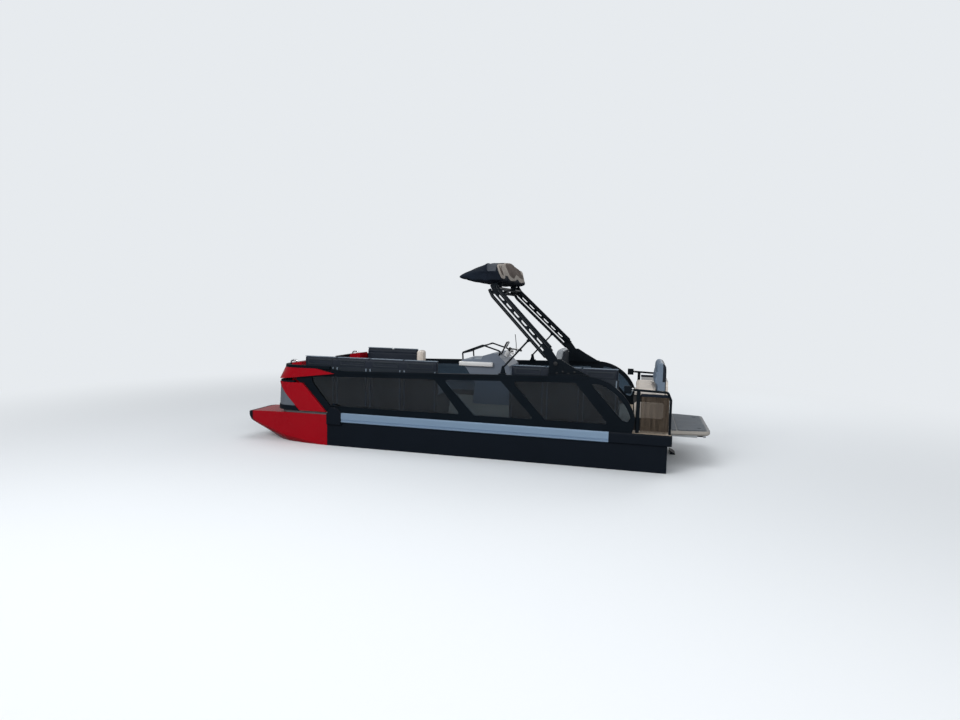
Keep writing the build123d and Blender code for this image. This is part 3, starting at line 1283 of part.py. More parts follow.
def reverse_bucket():
    """Curved deflector on two cheeks, parked above the nozzle's outlet."""
    cheek = make_face(Polyline((0, 24), (-60, 150), (-148, 74), (-24, -8), (6, -22), (24, 0), close=True))
    cheek = fillet(cheek.vertices(), 5)
    bucket = None
    for side in (-1, 1):
        plate = Pos(BUCKET_X, 0, PUMP_Z) * side_prism(cheek, side * 109, side * 117)
        bucket = plate if bucket is None else bucket + plate
    shell = rod((0, -117, 0), (0, 117, 0), 164) - rod((0, -118, 0), (0, 118, 0), 154)
    wedge = outline([(0, 0), (-85, 300), (-400, 200)])
    shell = shell & side_prism(wedge, -117, 117)
    bucket += Pos(BUCKET_X, 0, PUMP_Z) * shell
    return bucket - cross_pin(BUCKET_X, PUMP_Z, -140, 140, 9 + SEAT_GAP)


save("jet_pump", jet_pump())
save("impeller", impeller())
save("jet_nozzle", jet_nozzle())
save("reverse_bucket", reverse_bucket())
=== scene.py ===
"""Looks of the three-hulled deck boat: finishes, soft goods, fittings and stage."""
import json
import math
import bpy
from bpy.props import FloatProperty, FloatVectorProperty, PointerProperty
from mathutils import Matrix, Vector


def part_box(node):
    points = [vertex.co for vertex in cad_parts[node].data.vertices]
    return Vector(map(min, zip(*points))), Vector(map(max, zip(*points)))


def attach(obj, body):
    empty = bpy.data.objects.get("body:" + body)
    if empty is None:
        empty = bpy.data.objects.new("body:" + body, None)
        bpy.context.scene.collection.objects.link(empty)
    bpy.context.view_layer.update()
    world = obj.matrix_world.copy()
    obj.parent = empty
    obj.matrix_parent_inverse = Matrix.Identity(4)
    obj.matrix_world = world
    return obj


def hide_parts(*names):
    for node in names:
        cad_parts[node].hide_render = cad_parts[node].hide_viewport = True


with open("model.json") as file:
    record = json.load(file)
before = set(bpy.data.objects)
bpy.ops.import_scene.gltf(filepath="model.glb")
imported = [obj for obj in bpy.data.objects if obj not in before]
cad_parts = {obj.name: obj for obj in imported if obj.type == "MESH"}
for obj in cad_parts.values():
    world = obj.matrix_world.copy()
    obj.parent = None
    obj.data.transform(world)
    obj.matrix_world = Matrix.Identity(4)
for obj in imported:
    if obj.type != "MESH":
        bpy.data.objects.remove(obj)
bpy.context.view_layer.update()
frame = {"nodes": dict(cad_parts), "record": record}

bl_info = {
    "name": "Deck Boat Looks",
    "version": (1, 0, 0),
    "blender": (4, 5, 0),
    "location": "3D View > Sidebar > Deck Boat",
    "description": "Finishes, cushions, fittings and stage of a three-hulled deck boat",
    "category": "Object",
}

DECK = 0.830
WATERLINE = 0.350
SIDES = ((1, "Port"), (-1, "Starboard"))
UP = Vector((0, 0, 1))
FORWARD = Vector((1, 0, 0))
FACING = 0.9            # least part of a face's normal along the axis that it faces

# Benches: name, side, front x, rear x, seats
BENCHES = (
    ("Port_forward", 1, 2.366, 0.328, 4),
    ("Port_aft", 1, -0.675, -2.080, 3),
    ("Starboard_forward", -1, 2.366, 1.400, 2),
)


# Settings that a user would change

def colour(name, text, value):
    return FloatVectorProperty(name=name, description=text, subtype="COLOR", size=3, min=0, max=1,
                               default=value)


def length(name, text, value):
    return FloatProperty(name=name, description=text, unit="LENGTH", min=0, default=value)


class BoatColours(bpy.types.PropertyGroup):
    red: colour("Bow red", "Moulded bow and nose panels", (0.30, 0.0020, 0.0080))
    hull: colour("Hull", "Hulls below the deck", (0.0060, 0.0090, 0.0140))
    # Silver aluminium; its blue tint is painted sky reflection
    band: colour("Side band", "Aluminium band along the deck", (0.25, 0.36, 0.50))
    black: colour("Black metal", "Fences, rails and tower", (0.0035, 0.0060, 0.0090))
    glass: colour("Smoked glass", "Tint of the side panes", (0.13, 0.19, 0.25))
    seat: colour("Seat vinyl", "Dark upholstery", (0.008, 0.012, 0.020))
    piping: colour("Seat piping", "Piping and seams of the seats", (0.13, 0.17, 0.22))
    inset: colour("Seat insert", "Light panels of the seats", (0.30, 0.33, 0.36))
    cream: colour("Cream", "Stern lounge", (0.60, 0.54, 0.48))
    wedge: colour("Wedge", "Head of the stern backrest", (0.12, 0.17, 0.24))
    console: colour("Console", "Helm mouldings", (0.15, 0.18, 0.23))
    tile: colour("Floor", "Deck tiles", (0.42, 0.34, 0.26))
    canvas: colour("Canvas", "Canopy bag", (0.006, 0.009, 0.015))
    # Painted sunlight: the lit tone of the bag's canvas, used on the roll at the back of the bag
    faded: colour("Faded canvas", "Roll at the back of the bag", (0.115, 0.095, 0.085))
    net: colour("Net", "Stern nets", (0.15, 0.115, 0.085))
    platform: colour("Platform", "Swim platform rim", (0.44, 0.41, 0.37))
    mat: colour("Mat", "Foam mats on the platform", (0.050, 0.066, 0.086))


class BoatSizes(bpy.types.PropertyGroup):
    piping_radius: length("Piping radius", "Radius of the seat piping", 0.0045)
    puff: length("Cushion puff", "How far a cushion may swell", 0.014)
    seam_depth: length("Seam depth", "Depth of a sewn channel", 0.007)
    net_depth: length("Net folds", "Depth of the folds in the hung nets", 0.012)
    bolt: length("Bolt", "Radius of the bolt heads", 0.009)


def colours():
    return bpy.context.scene.boat_colours


def sizes():
    return bpy.context.scene.boat_sizes


# Node helpers

def node(tree, kind, links=(), **values):
    """Adds a node, sets its properties and links or sets its inputs."""
    made = tree.nodes.new(kind)
    for key, value in values.items():
        setattr(made, key, value)
    for socket, source in links:
        if hasattr(source, "is_output"):
            tree.links.new(source, made.inputs[socket])
        else:
            made.inputs[socket].default_value = source
    return made


def math_node(tree, operation, first, second=0.0, clamp=False):
    return node(tree, "ShaderNodeMath", [(0, first), (1, second)],
                operation=operation, use_clamp=clamp).outputs[0]


def map_range(tree, value, low, high, to_low=0.0, to_high=1.0, **values):
    return node(tree, "ShaderNodeMapRange", [
        ("Value", value), ("From Min", low), ("From Max", high),
        ("To Min", to_low), ("To Max", to_high)], **values).outputs[0]


def noise(tree, place, scale, detail, *more):
    return node(tree, "ShaderNodeTexNoise", [
        ("Vector", place), ("Scale", scale), ("Detail", detail), *more]).outputs[0]


def mix_colour(tree, amount, first, second):
    return node(tree, "ShaderNodeMix", [(0, amount), (6, first), (7, second)],
                data_type="RGBA").outputs[2]


def bump(tree, height, depth, distance):
    return node(tree, "ShaderNodeBump", [
        ("Height", height), ("Strength", depth), ("Distance", distance)]).outputs[0]


def upward(tree):
    """How far the surface faces up: the z of its normal."""
    surface = tree.nodes.new("ShaderNodeNewGeometry")
    return node(tree, "ShaderNodeSeparateXYZ", [(0, surface.outputs["Normal"])]).outputs[2]


# Node groups: each puts out colours, masks or normals

PLACE = ("Place", "vector", None)
SOCKETS = {"value": "NodeSocketFloat", "colour": "NodeSocketColor", "vector": "NodeSocketVector"}


def new_group(name, inputs, outputs):
    """Empty shader group with its sockets made from (name, kind, default) rows."""
    group = bpy.data.node_groups.new(name, "ShaderNodeTree")
    for label, kind, default in inputs:
        socket = group.interface.new_socket(name=label, in_out="INPUT", socket_type=SOCKETS[kind])
        if default is not None:
            socket.default_value = default
    for label, kind in outputs:
        group.interface.new_socket(name=label, in_out="OUTPUT", socket_type=SOCKETS[kind])
    given = group.nodes.new("NodeGroupInput").outputs
    return group, given, group.nodes.new("NodeGroupOutput").inputs


def patch_group():
    """Broad colour variation: weather, handling and dye; stretched on the nets into painted shade
    of their folds.
    """
    group, given, out = new_group("Broad variation", [
        PLACE, ("Colour", "colour", (1, 1, 1, 1)), ("Second", "colour", (0, 0, 0, 1)),
        ("Scale", "value", 2.0), ("Amount", "value", 0.3)],
        [("Colour", "colour"), ("Mask", "value")])
    broad = noise(group, given["Place"], given["Scale"], 5.0, ("Roughness", 0.62))
    spread = map_range(group, broad, 0.34, 0.68)
    amount = math_node(group, "MULTIPLY", spread, given["Amount"], True)
    mixed = mix_colour(group, amount, given["Colour"], given["Second"])
    group.links.new(mixed, out["Colour"])
    group.links.new(amount, out["Mask"])
    return group


def grain_group():
    """Fine moulded grain as a normal."""
    group, given, out = new_group("Fine grain", [
        PLACE, ("Scale", "value", 300.0), ("Depth", "value", 0.15)], [("Normal", "vector")])
    fine = noise(group, given["Place"], given["Scale"], 3.0)
    group.links.new(bump(group, fine, given["Depth"], 0.002), out["Normal"])
    return group


def leather_group():
    """Pebbled vinyl grain with soft stretch wrinkles."""
    group, given, out = new_group("Vinyl grain", [
        PLACE, ("Scale", "value", 420.0), ("Depth", "value", 0.3)], [("Normal", "vector")])
    pebble = node(group, "ShaderNodeTexVoronoi", [
        ("Vector", given["Place"]), ("Scale", given["Scale"])], feature="SMOOTH_F1")
    wrinkle = noise(group, given["Place"], 9.0, 4.0, ("Distortion", 1.6))
    height = math_node(group, "ADD", pebble.outputs["Distance"],
                       math_node(group, "MULTIPLY", wrinkle, 2.2))
    group.links.new(bump(group, height, given["Depth"], 0.004), out["Normal"])
    return group


def weave_group():
    """Plain weave: crossed threads as a normal."""
    group, given, out = new_group("Plain weave", [
        PLACE, ("Scale", "value", 700.0), ("Depth", "value", 0.4)], [("Normal", "vector")])
    split = node(group, "ShaderNodeSeparateXYZ", [(0, given["Place"])])
    along = math_node(group, "ADD", split.outputs[0], split.outputs[1])
    waves = []
    for source in (along, split.outputs[2]):
        turned = math_node(group, "MULTIPLY", source, given["Scale"])
        waves.append(math_node(group, "SINE", turned))
    threads = map_range(group, math_node(group, "MULTIPLY", *waves), -1.0, 1.0)
    group.links.new(bump(group, threads, given["Depth"], 0.001), out["Normal"])
    return group


def dust_group():
    """Pale dust that settles on what faces up."""
    group, given, out = new_group("Settled dust", [
        PLACE, ("Scale", "value", 6.0), ("Amount", "value", 0.2)], [("Mask", "value")])
    cloud = noise(group, given["Place"], given["Scale"], 6.0)
    settled = math_node(group, "MULTIPLY", map_range(group, upward(group), 0.35, 0.95), cloud)
    mask = math_node(group, "MULTIPLY", settled, given["Amount"], True)
    group.links.new(mask, out["Mask"])
    return group


GROUPS = {}


def build_groups():
    for key, builder in (("patch", patch_group), ("grain", grain_group),
                         ("leather", leather_group), ("weave", weave_group), ("dust", dust_group)):
        GROUPS[key] = builder()


# Finishes

DUST_COLOUR = (0.42, 0.42, 0.41, 1.0)
COAT_ROUGHNESS = 0.08
INDEX = 1.5             # of refraction, of every finish


def rgba(value):
    return (*value, 1.0)


def shade(value, factor):
    return tuple(min(1.0, part * factor) for part in value)


def use_group(tree, key, place, **values):
    """Places a shared group in a material with its own values."""
    made = tree.nodes.new("ShaderNodeGroup")
    made.node_tree = GROUPS[key]
    tree.links.new(place, made.inputs["Place"])
    for label, value in values.items():
        made.inputs[label].default_value = value
    return made.outputs


def finish_material(name, base, second=None, second_tone=0.6, rough=0.5, rough_spread=0.08, metal=0.0,
                    coat=0.0, transmission=0.0, alpha=1.0, patch=(2.0, 0.35), surface=None,
                    dust=0.06, stretch=None, shine=0.5, top=None):
    """Material with broad variation, a fine surface and settled dust.

    The second colour of the variation is the base times its factor, unless it is given; on the
    net it is near black and stretched into streaks: painted shade of the folds. patch is the
    variation's scale and amount, surface a group's key, scale and depth.
    """
    material = bpy.data.materials.new(name)
    material.use_nodes = True
    tree = material.node_tree
    tree.nodes.clear()
    out = tree.nodes.new("ShaderNodeOutputMaterial")
    shader = tree.nodes.new("ShaderNodeBsdfPrincipled")
    tree.links.new(shader.outputs[0], out.inputs[0])
    place = tree.nodes.new("ShaderNodeTexCoord").outputs["Object"]
    if stretch:
        place = node(tree, "ShaderNodeMapping", [("Vector", place), ("Scale", stretch)]).outputs[0]
    broad = use_group(tree, "patch", place, Colour=rgba(base),
                      Second=rgba(second or shade(base, second_tone)), Scale=patch[0], Amount=patch[1])
    tint = broad["Colour"]
    # Faces that look up take the top colour; on the console this is painted sky light on its tops
    if top:
        level = math_node(tree, "GREATER_THAN", upward(tree), FACING)
        tint = mix_colour(tree, level, tint, rgba(top))
    if dust:
        settled = use_group(tree, "dust", place, Amount=dust)
        tint = mix_colour(tree, settled["Mask"], tint, DUST_COLOUR)
    tree.links.new(tint, shader.inputs["Base Color"])
    roughness = map_range(tree, broad["Mask"], 0.0, 0.5, rough, rough + rough_spread)
    tree.links.new(roughness, shader.inputs["Roughness"])
    if surface:
        key, scale, depth = surface
        relief = use_group(tree, key, place, Scale=scale, Depth=depth)
        tree.links.new(relief["Normal"], shader.inputs["Normal"])
    for label, value in (("Metallic", metal), ("Coat Weight", coat),
                         ("Transmission Weight", transmission), ("IOR", INDEX), ("Alpha", alpha),
                         ("Specular IOR Level", shine), ("Coat Roughness", COAT_ROUGHNESS)):
        shader.inputs[label].default_value = value
    return material


# Key: label, base as a colour or as the name of one of the boat's colours, the rest
FINISH_ROWS = {
    "hull_black": ("Hull black", "hull", dict(
        rough=0.42, surface=("grain", 240, 0.10), dust=0.04, shine=0.05)),
    "red_shell": ("Bow red", "red", dict(
        second_tone=0.72, rough=0.24, coat=0.12, shine=0.1, patch=(1.3, 0.4),
        surface=("grain", 500, 0.02), dust=0.03)),
    "engine": ("Engine paint", (0.15, 0.15, 0.16), dict(surface=("grain", 120, 0.2))),
    "steel": ("Stainless steel", (0.55, 0.56, 0.58), dict(
        rough=0.24, metal=1.0, surface=("grain", 700, 0.05), dust=0.0)),
    "frame_aluminium": ("Mill aluminium", (0.45, 0.47, 0.49), dict(
        rough=0.45, metal=0.9, surface=("grain", 300, 0.06), stretch=(0.2, 1, 1))),
    "deck_core": ("Deck core", (0.08, 0.08, 0.085), dict(rough=0.7, surface=("grain", 200, 0.1))),
    "deck_tile": ("Deck tile", "tile", dict(
        second_tone=0.75, rough=0.6, patch=(3.0, 0.5), surface=("leather", 160, 0.35), dust=0.2)),
    # The band's blue base is painted sky reflection on silver aluminium
    "band_aluminium": ("Band aluminium", "band", dict(
        second_tone=0.82, rough=0.36, metal=0.55, patch=(0.8, 0.5), surface=("grain", 160, 0.05),
        stretch=(0.15, 1, 1), dust=0.05)),
    "black_metal": ("Black paint", "black", dict(
        second_tone=1.9, rough=0.36, shine=0.05, patch=(2.5, 0.4), surface=("grain", 420, 0.06),
        dust=0.02)),
    "tower_black": ("Tower paint", "black", dict(
        second_tone=1.7, rough=0.27, coat=0.05, shine=0.08, patch=(3.0, 0.4),
        surface=("grain", 420, 0.05), dust=0.02)),
    "smoked_glass": ("Smoked glass", "glass", dict(
        second_tone=0.85, rough=0.03, rough_spread=0.03, transmission=1.0, patch=(1.5, 0.4), dust=0.0,
        shine=0.12)),
    "bow_lens": ("Lens", (0.11, 0.125, 0.15), dict(
        second=(0.06, 0.07, 0.09), rough=0.16, coat=0.4, patch=(4.0, 0.5),
        surface=("grain", 60, 0.25), dust=0.0, stretch=(1, 1, 0.25))),
    "seat_shell": ("Seat moulding", (0.020, 0.026, 0.034), dict(
        rough=0.42, surface=("grain", 300, 0.05), dust=0.03, shine=0.12)),
    "upholstery": ("Dark vinyl", "seat", dict(
        second_tone=1.7, rough=0.44, patch=(3.0, 0.5), surface=("leather", 420, 0.10), dust=0.03,
        shine=0.15)),
    "piping": ("Piping vinyl", "piping", dict(rough=0.45, surface=("leather", 500, 0.15))),
    "seat_insert": ("Insert vinyl", "inset", dict(
        second_tone=0.8, rough=0.48, patch=(3.0, 0.4), surface=("leather", 420, 0.22), dust=0.1)),
    "cream_shell": ("Cream moulding", "cream", dict(
        second_tone=0.85, rough=0.3, coat=0.3, patch=(1.6, 0.45), surface=("grain", 400, 0.03),
        dust=0.08)),
    "cream_vinyl": ("Cream vinyl", "cream", dict(
        second_tone=0.82, rough=0.46, patch=(3.0, 0.4), surface=("leather", 420, 0.2), dust=0.08)),
    "grey_vinyl": ("Grey vinyl", "wedge", dict(
        second_tone=0.8, rough=0.45, patch=(3.0, 0.4), surface=("leather", 420, 0.22), dust=0.10)),
    # top: lighter, bluer faces that look up, painted sky light over the darker console sides
    "console_shell": ("Console moulding", "console", dict(
        second_tone=0.8, rough=0.3, coat=0.35, patch=(1.8, 0.5), surface=("grain", 350, 0.05),
        dust=0.08, top=(0.38, 0.45, 0.54))),
    "black_plastic": ("Black plastic", (0.010, 0.011, 0.013), dict(
        rough=0.42, surface=("grain", 380, 0.15), dust=0.03, shine=0.25)),
    "canvas": ("Dark canvas", "canvas", dict(
        second_tone=2.2, rough=0.82, patch=(4.0, 0.6), surface=("weave", 900, 0.5), dust=0.03,
        shine=0.1)),
    # Painted sunlight on the roll at the back of the canopy bag, as a lighter canvas tone
    "faded_canvas": ("Faded canvas", "faded", dict(
        rough=0.85, patch=(7.0, 0.6), surface=("weave", 900, 0.5), dust=0.03, shine=0.1)),
    "canvas_strap": ("Canvas strap", (0.30, 0.27, 0.24), dict(
        rough=0.8, surface=("weave", 1200, 0.4), dust=0.0)),
    "canvas_tab": ("Canvas tab", (0.036, 0.044, 0.058), dict(
        rough=0.7, surface=("weave", 1200, 0.4), dust=0.0)),
    # Near-black variation stretched into upright streaks: painted shade of the net's folds
    "net": ("Net cloth", "net", dict(
        second_tone=0.10, rough=0.85, patch=(7.0, 1.0), surface=("weave", 1100, 0.8),
        stretch=(9, 1, 0.2), alpha=0.45, dust=0.0, shine=0.1)),
    "platform_shell": ("Platform moulding", "platform", dict(
        second_tone=0.75, rough=0.4, coat=0.2, surface=("grain", 300, 0.08), dust=0.04,
        top=(0.030, 0.038, 0.048))),
    "mat": ("Foam mat", "mat", dict(
        second_tone=1.6, rough=0.78, patch=(5.0, 0.5), surface=("leather", 120, 0.5), dust=0.16)),
    "cast_metal": ("Cast metal", (0.26, 0.27, 0.28), dict(
        metal=0.85, surface=("grain", 140, 0.25))),
    "white_plastic": ("White plastic", (0.72, 0.73, 0.74), dict(
        rough=0.3, coat=0.3, surface=("grain", 400, 0.03), dust=0.05)),
    "screen_glass": ("Screen glass", (0.012, 0.016, 0.022), dict(
        rough=0.08, coat=1.0, rough_spread=0.03, dust=0.0)),
    "rubber": ("Rubber", (0.016, 0.016, 0.017), dict(
        rough=0.72, surface=("grain", 260, 0.3), dust=0.2)),
}
FINISH = {}


def build_finishes():
    for key, (label, base, rest) in FINISH_ROWS.items():
        if isinstance(base, str):
            base = tuple(getattr(colours(), base))
        FINISH[key] = finish_material(label, base, **rest)


# Nodes that don't wear the finish of their slot, and nodes that keep flat faces
SPECIAL_NODES = {"helm_display": "black_plastic", "chair_pedestal": "steel",
                 "helm_bezel": "white_plastic"}
FLAT_NODES = ("deck", "deck_frame", "engine")
NODE_SMOOTHING = 32
PIECE_SMOOTHING = 35


def dress_frame():
    """Gives every carried-over node the finish of its slot in the record."""
    for row in frame["record"]["subparts"]:
        name = row["node"]
        target = frame["nodes"][name]
        finish = FINISH[SPECIAL_NODES.get(name, row["material_slot"])]
        if not target.data.materials:
            target.data.materials.append(finish)
        for slot in target.material_slots:
            slot.material = finish
        if name not in FLAT_NODES:
            smooth(target, NODE_SMOOTHING)


# Modelling

def only(target):
    bpy.ops.object.select_all(action="DESELECT")
    target.select_set(True)
    bpy.context.view_layer.objects.active = target


def named(target, name):
    target.name = name
    target.data.name = name
    return target


def settle(target, name):
    """Puts the object's place into its mesh and names it."""
    only(target)
    bpy.ops.object.transform_apply(location=True, rotation=True, scale=True)
    return named(target, name)


def modify(target, kind, **values):
    only(target)
    bpy.ops.object.modifier_add(type=kind)
    modifier = target.modifiers[-1]
    for key, value in values.items():
        setattr(modifier, key, value)
    bpy.ops.object.modifier_apply(modifier=modifier.name)
    return target


def paint(target, *finishes):
    target.data.materials.clear()
    for finish in finishes:
        target.data.materials.append(FINISH[finish])


def smooth(target, angle):
    only(target)
    bpy.ops.object.shade_smooth_by_angle(angle=math.radians(angle))


def put(target, finish, body="boat"):
    """Last step of a rigid piece: finish, smooth shading and body."""
    paint(target, finish)
    smooth(target, PIECE_SMOOTHING)
    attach(target, body)


def pick_faces(target, axis):
    """Into edit mode, with only the faces selected that look along the axis."""
    bpy.ops.object.mode_set(mode="EDIT")
    bpy.ops.mesh.select_all(action="DESELECT")
    bpy.ops.object.mode_set(mode="OBJECT")
    for face in target.data.polygons:
        face.select = face.normal[axis] > FACING
    bpy.ops.object.mode_set(mode="EDIT")


def inset_faces(steps):
    """Insets the selection by (thickness, depth) steps and leaves edit mode."""
    for thickness, depth in steps:
        bpy.ops.mesh.inset(thickness=thickness, depth=depth)
    bpy.ops.object.mode_set(mode="OBJECT")


def shaped_block(name, low, high, bevel=0.0):
    """Cube at its size and place, its edges bevelled."""
    low, high = Vector(low), Vector(high)
    bpy.ops.object.select_all(action="DESELECT")
    bpy.ops.mesh.primitive_cube_add(size=1, location=(low + high) / 2, scale=high - low)
    block = settle(bpy.context.active_object, name)
    if bevel:
        modify(block, "BEVEL", width=bevel, segments=3, limit_method="ANGLE")
    return block


def rounded_slab(name, low, high, axis, corner, edge):
    """Block whose four edges along one axis are well rounded, the others eased."""
    slab = shaped_block(name, low, high)
    weights = slab.data.attributes.new("bevel_weight_edge", "FLOAT", "EDGE")
    for line in slab.data.edges:
        first, last = (slab.data.vertices[index].co for index in line.vertices)
        weights.data[line.index].value = float(abs(first[axis] - last[axis]) > 0.0001)
    modify(slab, "BEVEL", width=corner, segments=6, limit_method="WEIGHT")
    return modify(slab, "BEVEL", width=edge, segments=2, limit_method="ANGLE")


def turned_disc(name, centre, axis, radius, depth, bevel, vertices=32):
    """Short cylinder on an axis, bevelled at its rims."""
    turn = UP.rotation_difference(Vector(axis)).to_euler()
    bpy.ops.object.select_all(action="DESELECT")
    bpy.ops.mesh.primitive_cylinder_add(vertices=vertices, radius=radius, depth=depth,
                                        location=centre, rotation=turn)
    disc = settle(bpy.context.active_object, name)
    return modify(disc, "BEVEL", width=bevel, segments=2, limit_method="ANGLE")


def tube(name, points, radius, cyclic=False):
    """Round tube along a smooth line through its control points."""
    bpy.ops.object.select_all(action="DESELECT")
    bpy.ops.object.add(type="CURVE")
    curve = bpy.context.active_object
    data = curve.data
    data.dimensions = "3D"
    data.bevel_depth = radius
    data.bevel_resolution = 2
    data.use_fill_caps = True
    spline = data.splines.new("NURBS")
    spline.points.add(len(points) - 1)
    for point, place in zip(spline.points, points):
        point.co = (*place, 1.0)
    spline.use_cyclic_u = cyclic
    spline.order_u = 3
    spline.use_endpoint_u = not cyclic
    spline.resolution_u = 8
    only(curve)
    bpy.ops.object.convert(target="MESH")
    return named(bpy.context.active_object, name)


def join(name, parts):
    bpy.ops.object.select_all(action="DESELECT")
    for part in parts:
        part.select_set(True)
    bpy.context.view_layer.objects.active = parts[0]
    if len(parts) > 1:
        bpy.ops.object.join()
    return named(bpy.context.active_object, name)


def copy_to(source, name, shift=(0, 0, 0), across=1):
    """Copy with its own mesh, moved in its mesh, and mirrored where across is -1."""
    only(source)
    bpy.ops.object.duplicate(linked=False)
    made = bpy.context.active_object
    made.scale.y = across
    made.location = shift
    return settle(made, name)


def on_side(side, source):
    """The piece as it is to port, or mirrored to starboard."""
    if side > 0:
        return source
    made = copy_to(source, source.name, across=-1)
    bpy.ops.object.mode_set(mode="EDIT")
    bpy.ops.mesh.select_all(action="SELECT")
    bpy.ops.mesh.normals_make_consistent(inside=False)
    bpy.ops.object.mode_set(mode="OBJECT")
    bpy.data.objects.remove(source)
    return made


def ring_points(x0, x1, y0, y1, z, corner):
    """Control points of a flat rounded ring."""
    c = corner
    return [(x0 + c, y0, z), (x1 - c, y0, z), (x1, y0, z), (x1, y0 + c, z),
            (x1, y1 - c, z), (x1, y1, z), (x1 - c, y1, z), (x0 + c, y1, z),
            (x0, y1, z), (x0, y1 - c, z), (x0, y0 + c, z), (x0, y0, z)]


# Soft goods

CLOTH_FRAMES = 20
SEAM_REACH = 3          # in widths of the seam
SEAM_SLOPE = 0.75       # most of a normal along the axis that a seam is placed on
SEAM_FACING = 0.3       # least of a normal along the direction that a seam faces


def loose_copy(source, name, wanted=lambda middle: True):
    """Merged copy of those solids of a node whose middle the test wants."""
    original = frame["nodes"][source]
    made = bpy.data.objects.new(name, original.data.copy())
    bpy.context.scene.collection.objects.link(made)
    only(made)
    bpy.ops.object.mode_set(mode="EDIT")
    bpy.ops.mesh.select_all(action="SELECT")
    bpy.ops.mesh.remove_doubles(threshold=0.0001)
    bpy.ops.mesh.separate(type="LOOSE")
    bpy.ops.object.mode_set(mode="OBJECT")
    kept = []
    for part in list(bpy.context.selected_objects):
        corners = [Vector(corner) for corner in part.bound_box]
        if wanted(sum(corners, Vector()) / 8):
            kept.append(part)
        else:
            bpy.data.objects.remove(part)
    return join(name, kept)


def puff_up(target, cap, voxel, inset, pressure=4.0, eased=4):
    """Remesh, shrink a little, blow up as cloth and hold each point within the cap."""
    modify(target, "DISPLACE", strength=-inset, mid_level=0)
    modify(target, "REMESH", mode="VOXEL", voxel_size=voxel)
    start = [vertex.co.copy() for vertex in target.data.vertices]
    only(target)
    bpy.ops.object.modifier_add(type="CLOTH")
    cloth = target.modifiers[-1]
    cloth.settings.use_pressure = True
    cloth.settings.uniform_pressure_force = pressure
    cloth.settings.effector_weights.gravity = 0
    cloth.point_cache.frame_start = 1
    cloth.point_cache.frame_end = CLOTH_FRAMES
    for number in range(1, CLOTH_FRAMES + 1):
        bpy.context.scene.frame_set(number)
    bpy.ops.object.modifier_apply(modifier=cloth.name)
    bpy.context.scene.frame_set(1)
    for vertex, before in zip(target.data.vertices, start):
        moved = vertex.co - before
        if moved.length > cap:
            vertex.co = before + moved.normalized() * cap
    modify(target, "SMOOTH", factor=0.5, iterations=eased)
    modify(target, "SUBSURF", levels=1, render_levels=1)


def press_seams(target, rows, depth, width):
    """Sewn channels: rows of (axis, place, direction faced) pressed into the surface."""
    target.data.update()
    normals = [vertex.normal.copy() for vertex in target.data.vertices]
    for vertex, normal in zip(target.data.vertices, normals):
        for axis, place, facing in rows:
            if abs(normal[axis]) > SEAM_SLOPE or normal.dot(facing) < SEAM_FACING:
                continue
            away = (vertex.co[axis] - place) / width
            if abs(away) < SEAM_REACH:
                vertex.co -= normal * depth * math.exp(-away * away)
    target.data.update()


def lay(target, replaced, body="boat"):
    """Last step of a soft piece: smooth shading, body and what it replaces."""
    only(target)
    bpy.ops.object.shade_smooth()
    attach(target, body)
    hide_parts(replaced)


def on_bench(side, front, rear):
    return lambda middle: middle.y * side > 0 and rear < middle.x < front


class BOAT_OT_seat_cushions(bpy.types.Operator):
    """Seat cushions of the three benches, puffed and sewn"""
    bl_idname = "boat.seat_cushions"
    bl_label = "Seat cushions"

    def execute(self, context):
        size = sizes()
        seam = 0.22         # of a seat's width, from its middle
        for name, side, front, rear, count in BENCHES:
            pad = loose_copy("bench_cushions", f"{name}_seat_cushions", on_bench(side, front, rear))
            puff_up(pad, size.puff, 0.014, 0.006)
            pitch = (front - rear) / count
            rows = [(0, rear + pitch * (index + 0.5) + step * pitch * seam, UP)
                    for index in range(count) for step in (-1, 1)]
            press_seams(pad, rows, size.seam_depth, 0.009)
            paint(pad, "seat_insert")
            lay(pad, "bench_cushions")
        return {"FINISHED"}


def recess_panel(name, x0, x1, y, z0, z1):
    """Moulded back panel with a rounded recess and a raised pad in it."""
    half = 0.004
    panel = shaped_block(name, (x0, y - half, z0), (x1, y + half, z1))
    pick_faces(panel, 1)
    inset_faces([(0.018, 0), (0.006, -0.005), (0.014, 0), (0.004, 0.003)])
    return modify(panel, "BEVEL", width=0.0022, segments=2, limit_method="ANGLE")


class BOAT_OT_backrests(bpy.types.Operator):
    """Backrests with piping round the top and moulded outer backs"""
    bl_idname = "boat.backrests"
    bl_label = "Backrests"

    def execute(self, context):
        size = sizes()
        seams = (DECK + 0.560, DECK + 0.690)
        gap = 0.016                     # between a back and its piping's end
        inner, outer, shell = 1.012, 1.072, 1.082
        margin = 0.045                  # from the piping's end to the shell
        for name, side, front, rear, count in BENCHES:
            pad = loose_copy("bench_backrests", f"{name}_backrests", on_bench(side, front, rear))
            puff_up(pad, size.puff * 0.6, 0.014, 0.005)
            inward = Vector((0, -side, 0))
            press_seams(pad, [(2, z, inward) for z in seams], size.seam_depth, 0.008)
            paint(pad, "upholstery")
            lay(pad, "bench_backrests")
            pitch = (front - rear) / count
            pipes, panels = [], []
            for index in range(count):
                x0 = rear + pitch * index + gap
                x1 = x0 + pitch - 2 * gap
                ring = ring_points(x0, x1, inner, outer, DECK + 0.768, 0.03)
                pipes.append(on_side(side, tube("pipe", ring, size.piping_radius, True)))
                panels.append(on_side(side, recess_panel(
                    "panel", x0 + margin, x1 - margin, shell, DECK + 0.652, DECK + 0.736)))
            put(join(f"{name}_backrest_piping", pipes), "piping")
            put(join(f"{name}_backrest_shells", panels), "seat_shell")
        return {"FINISHED"}


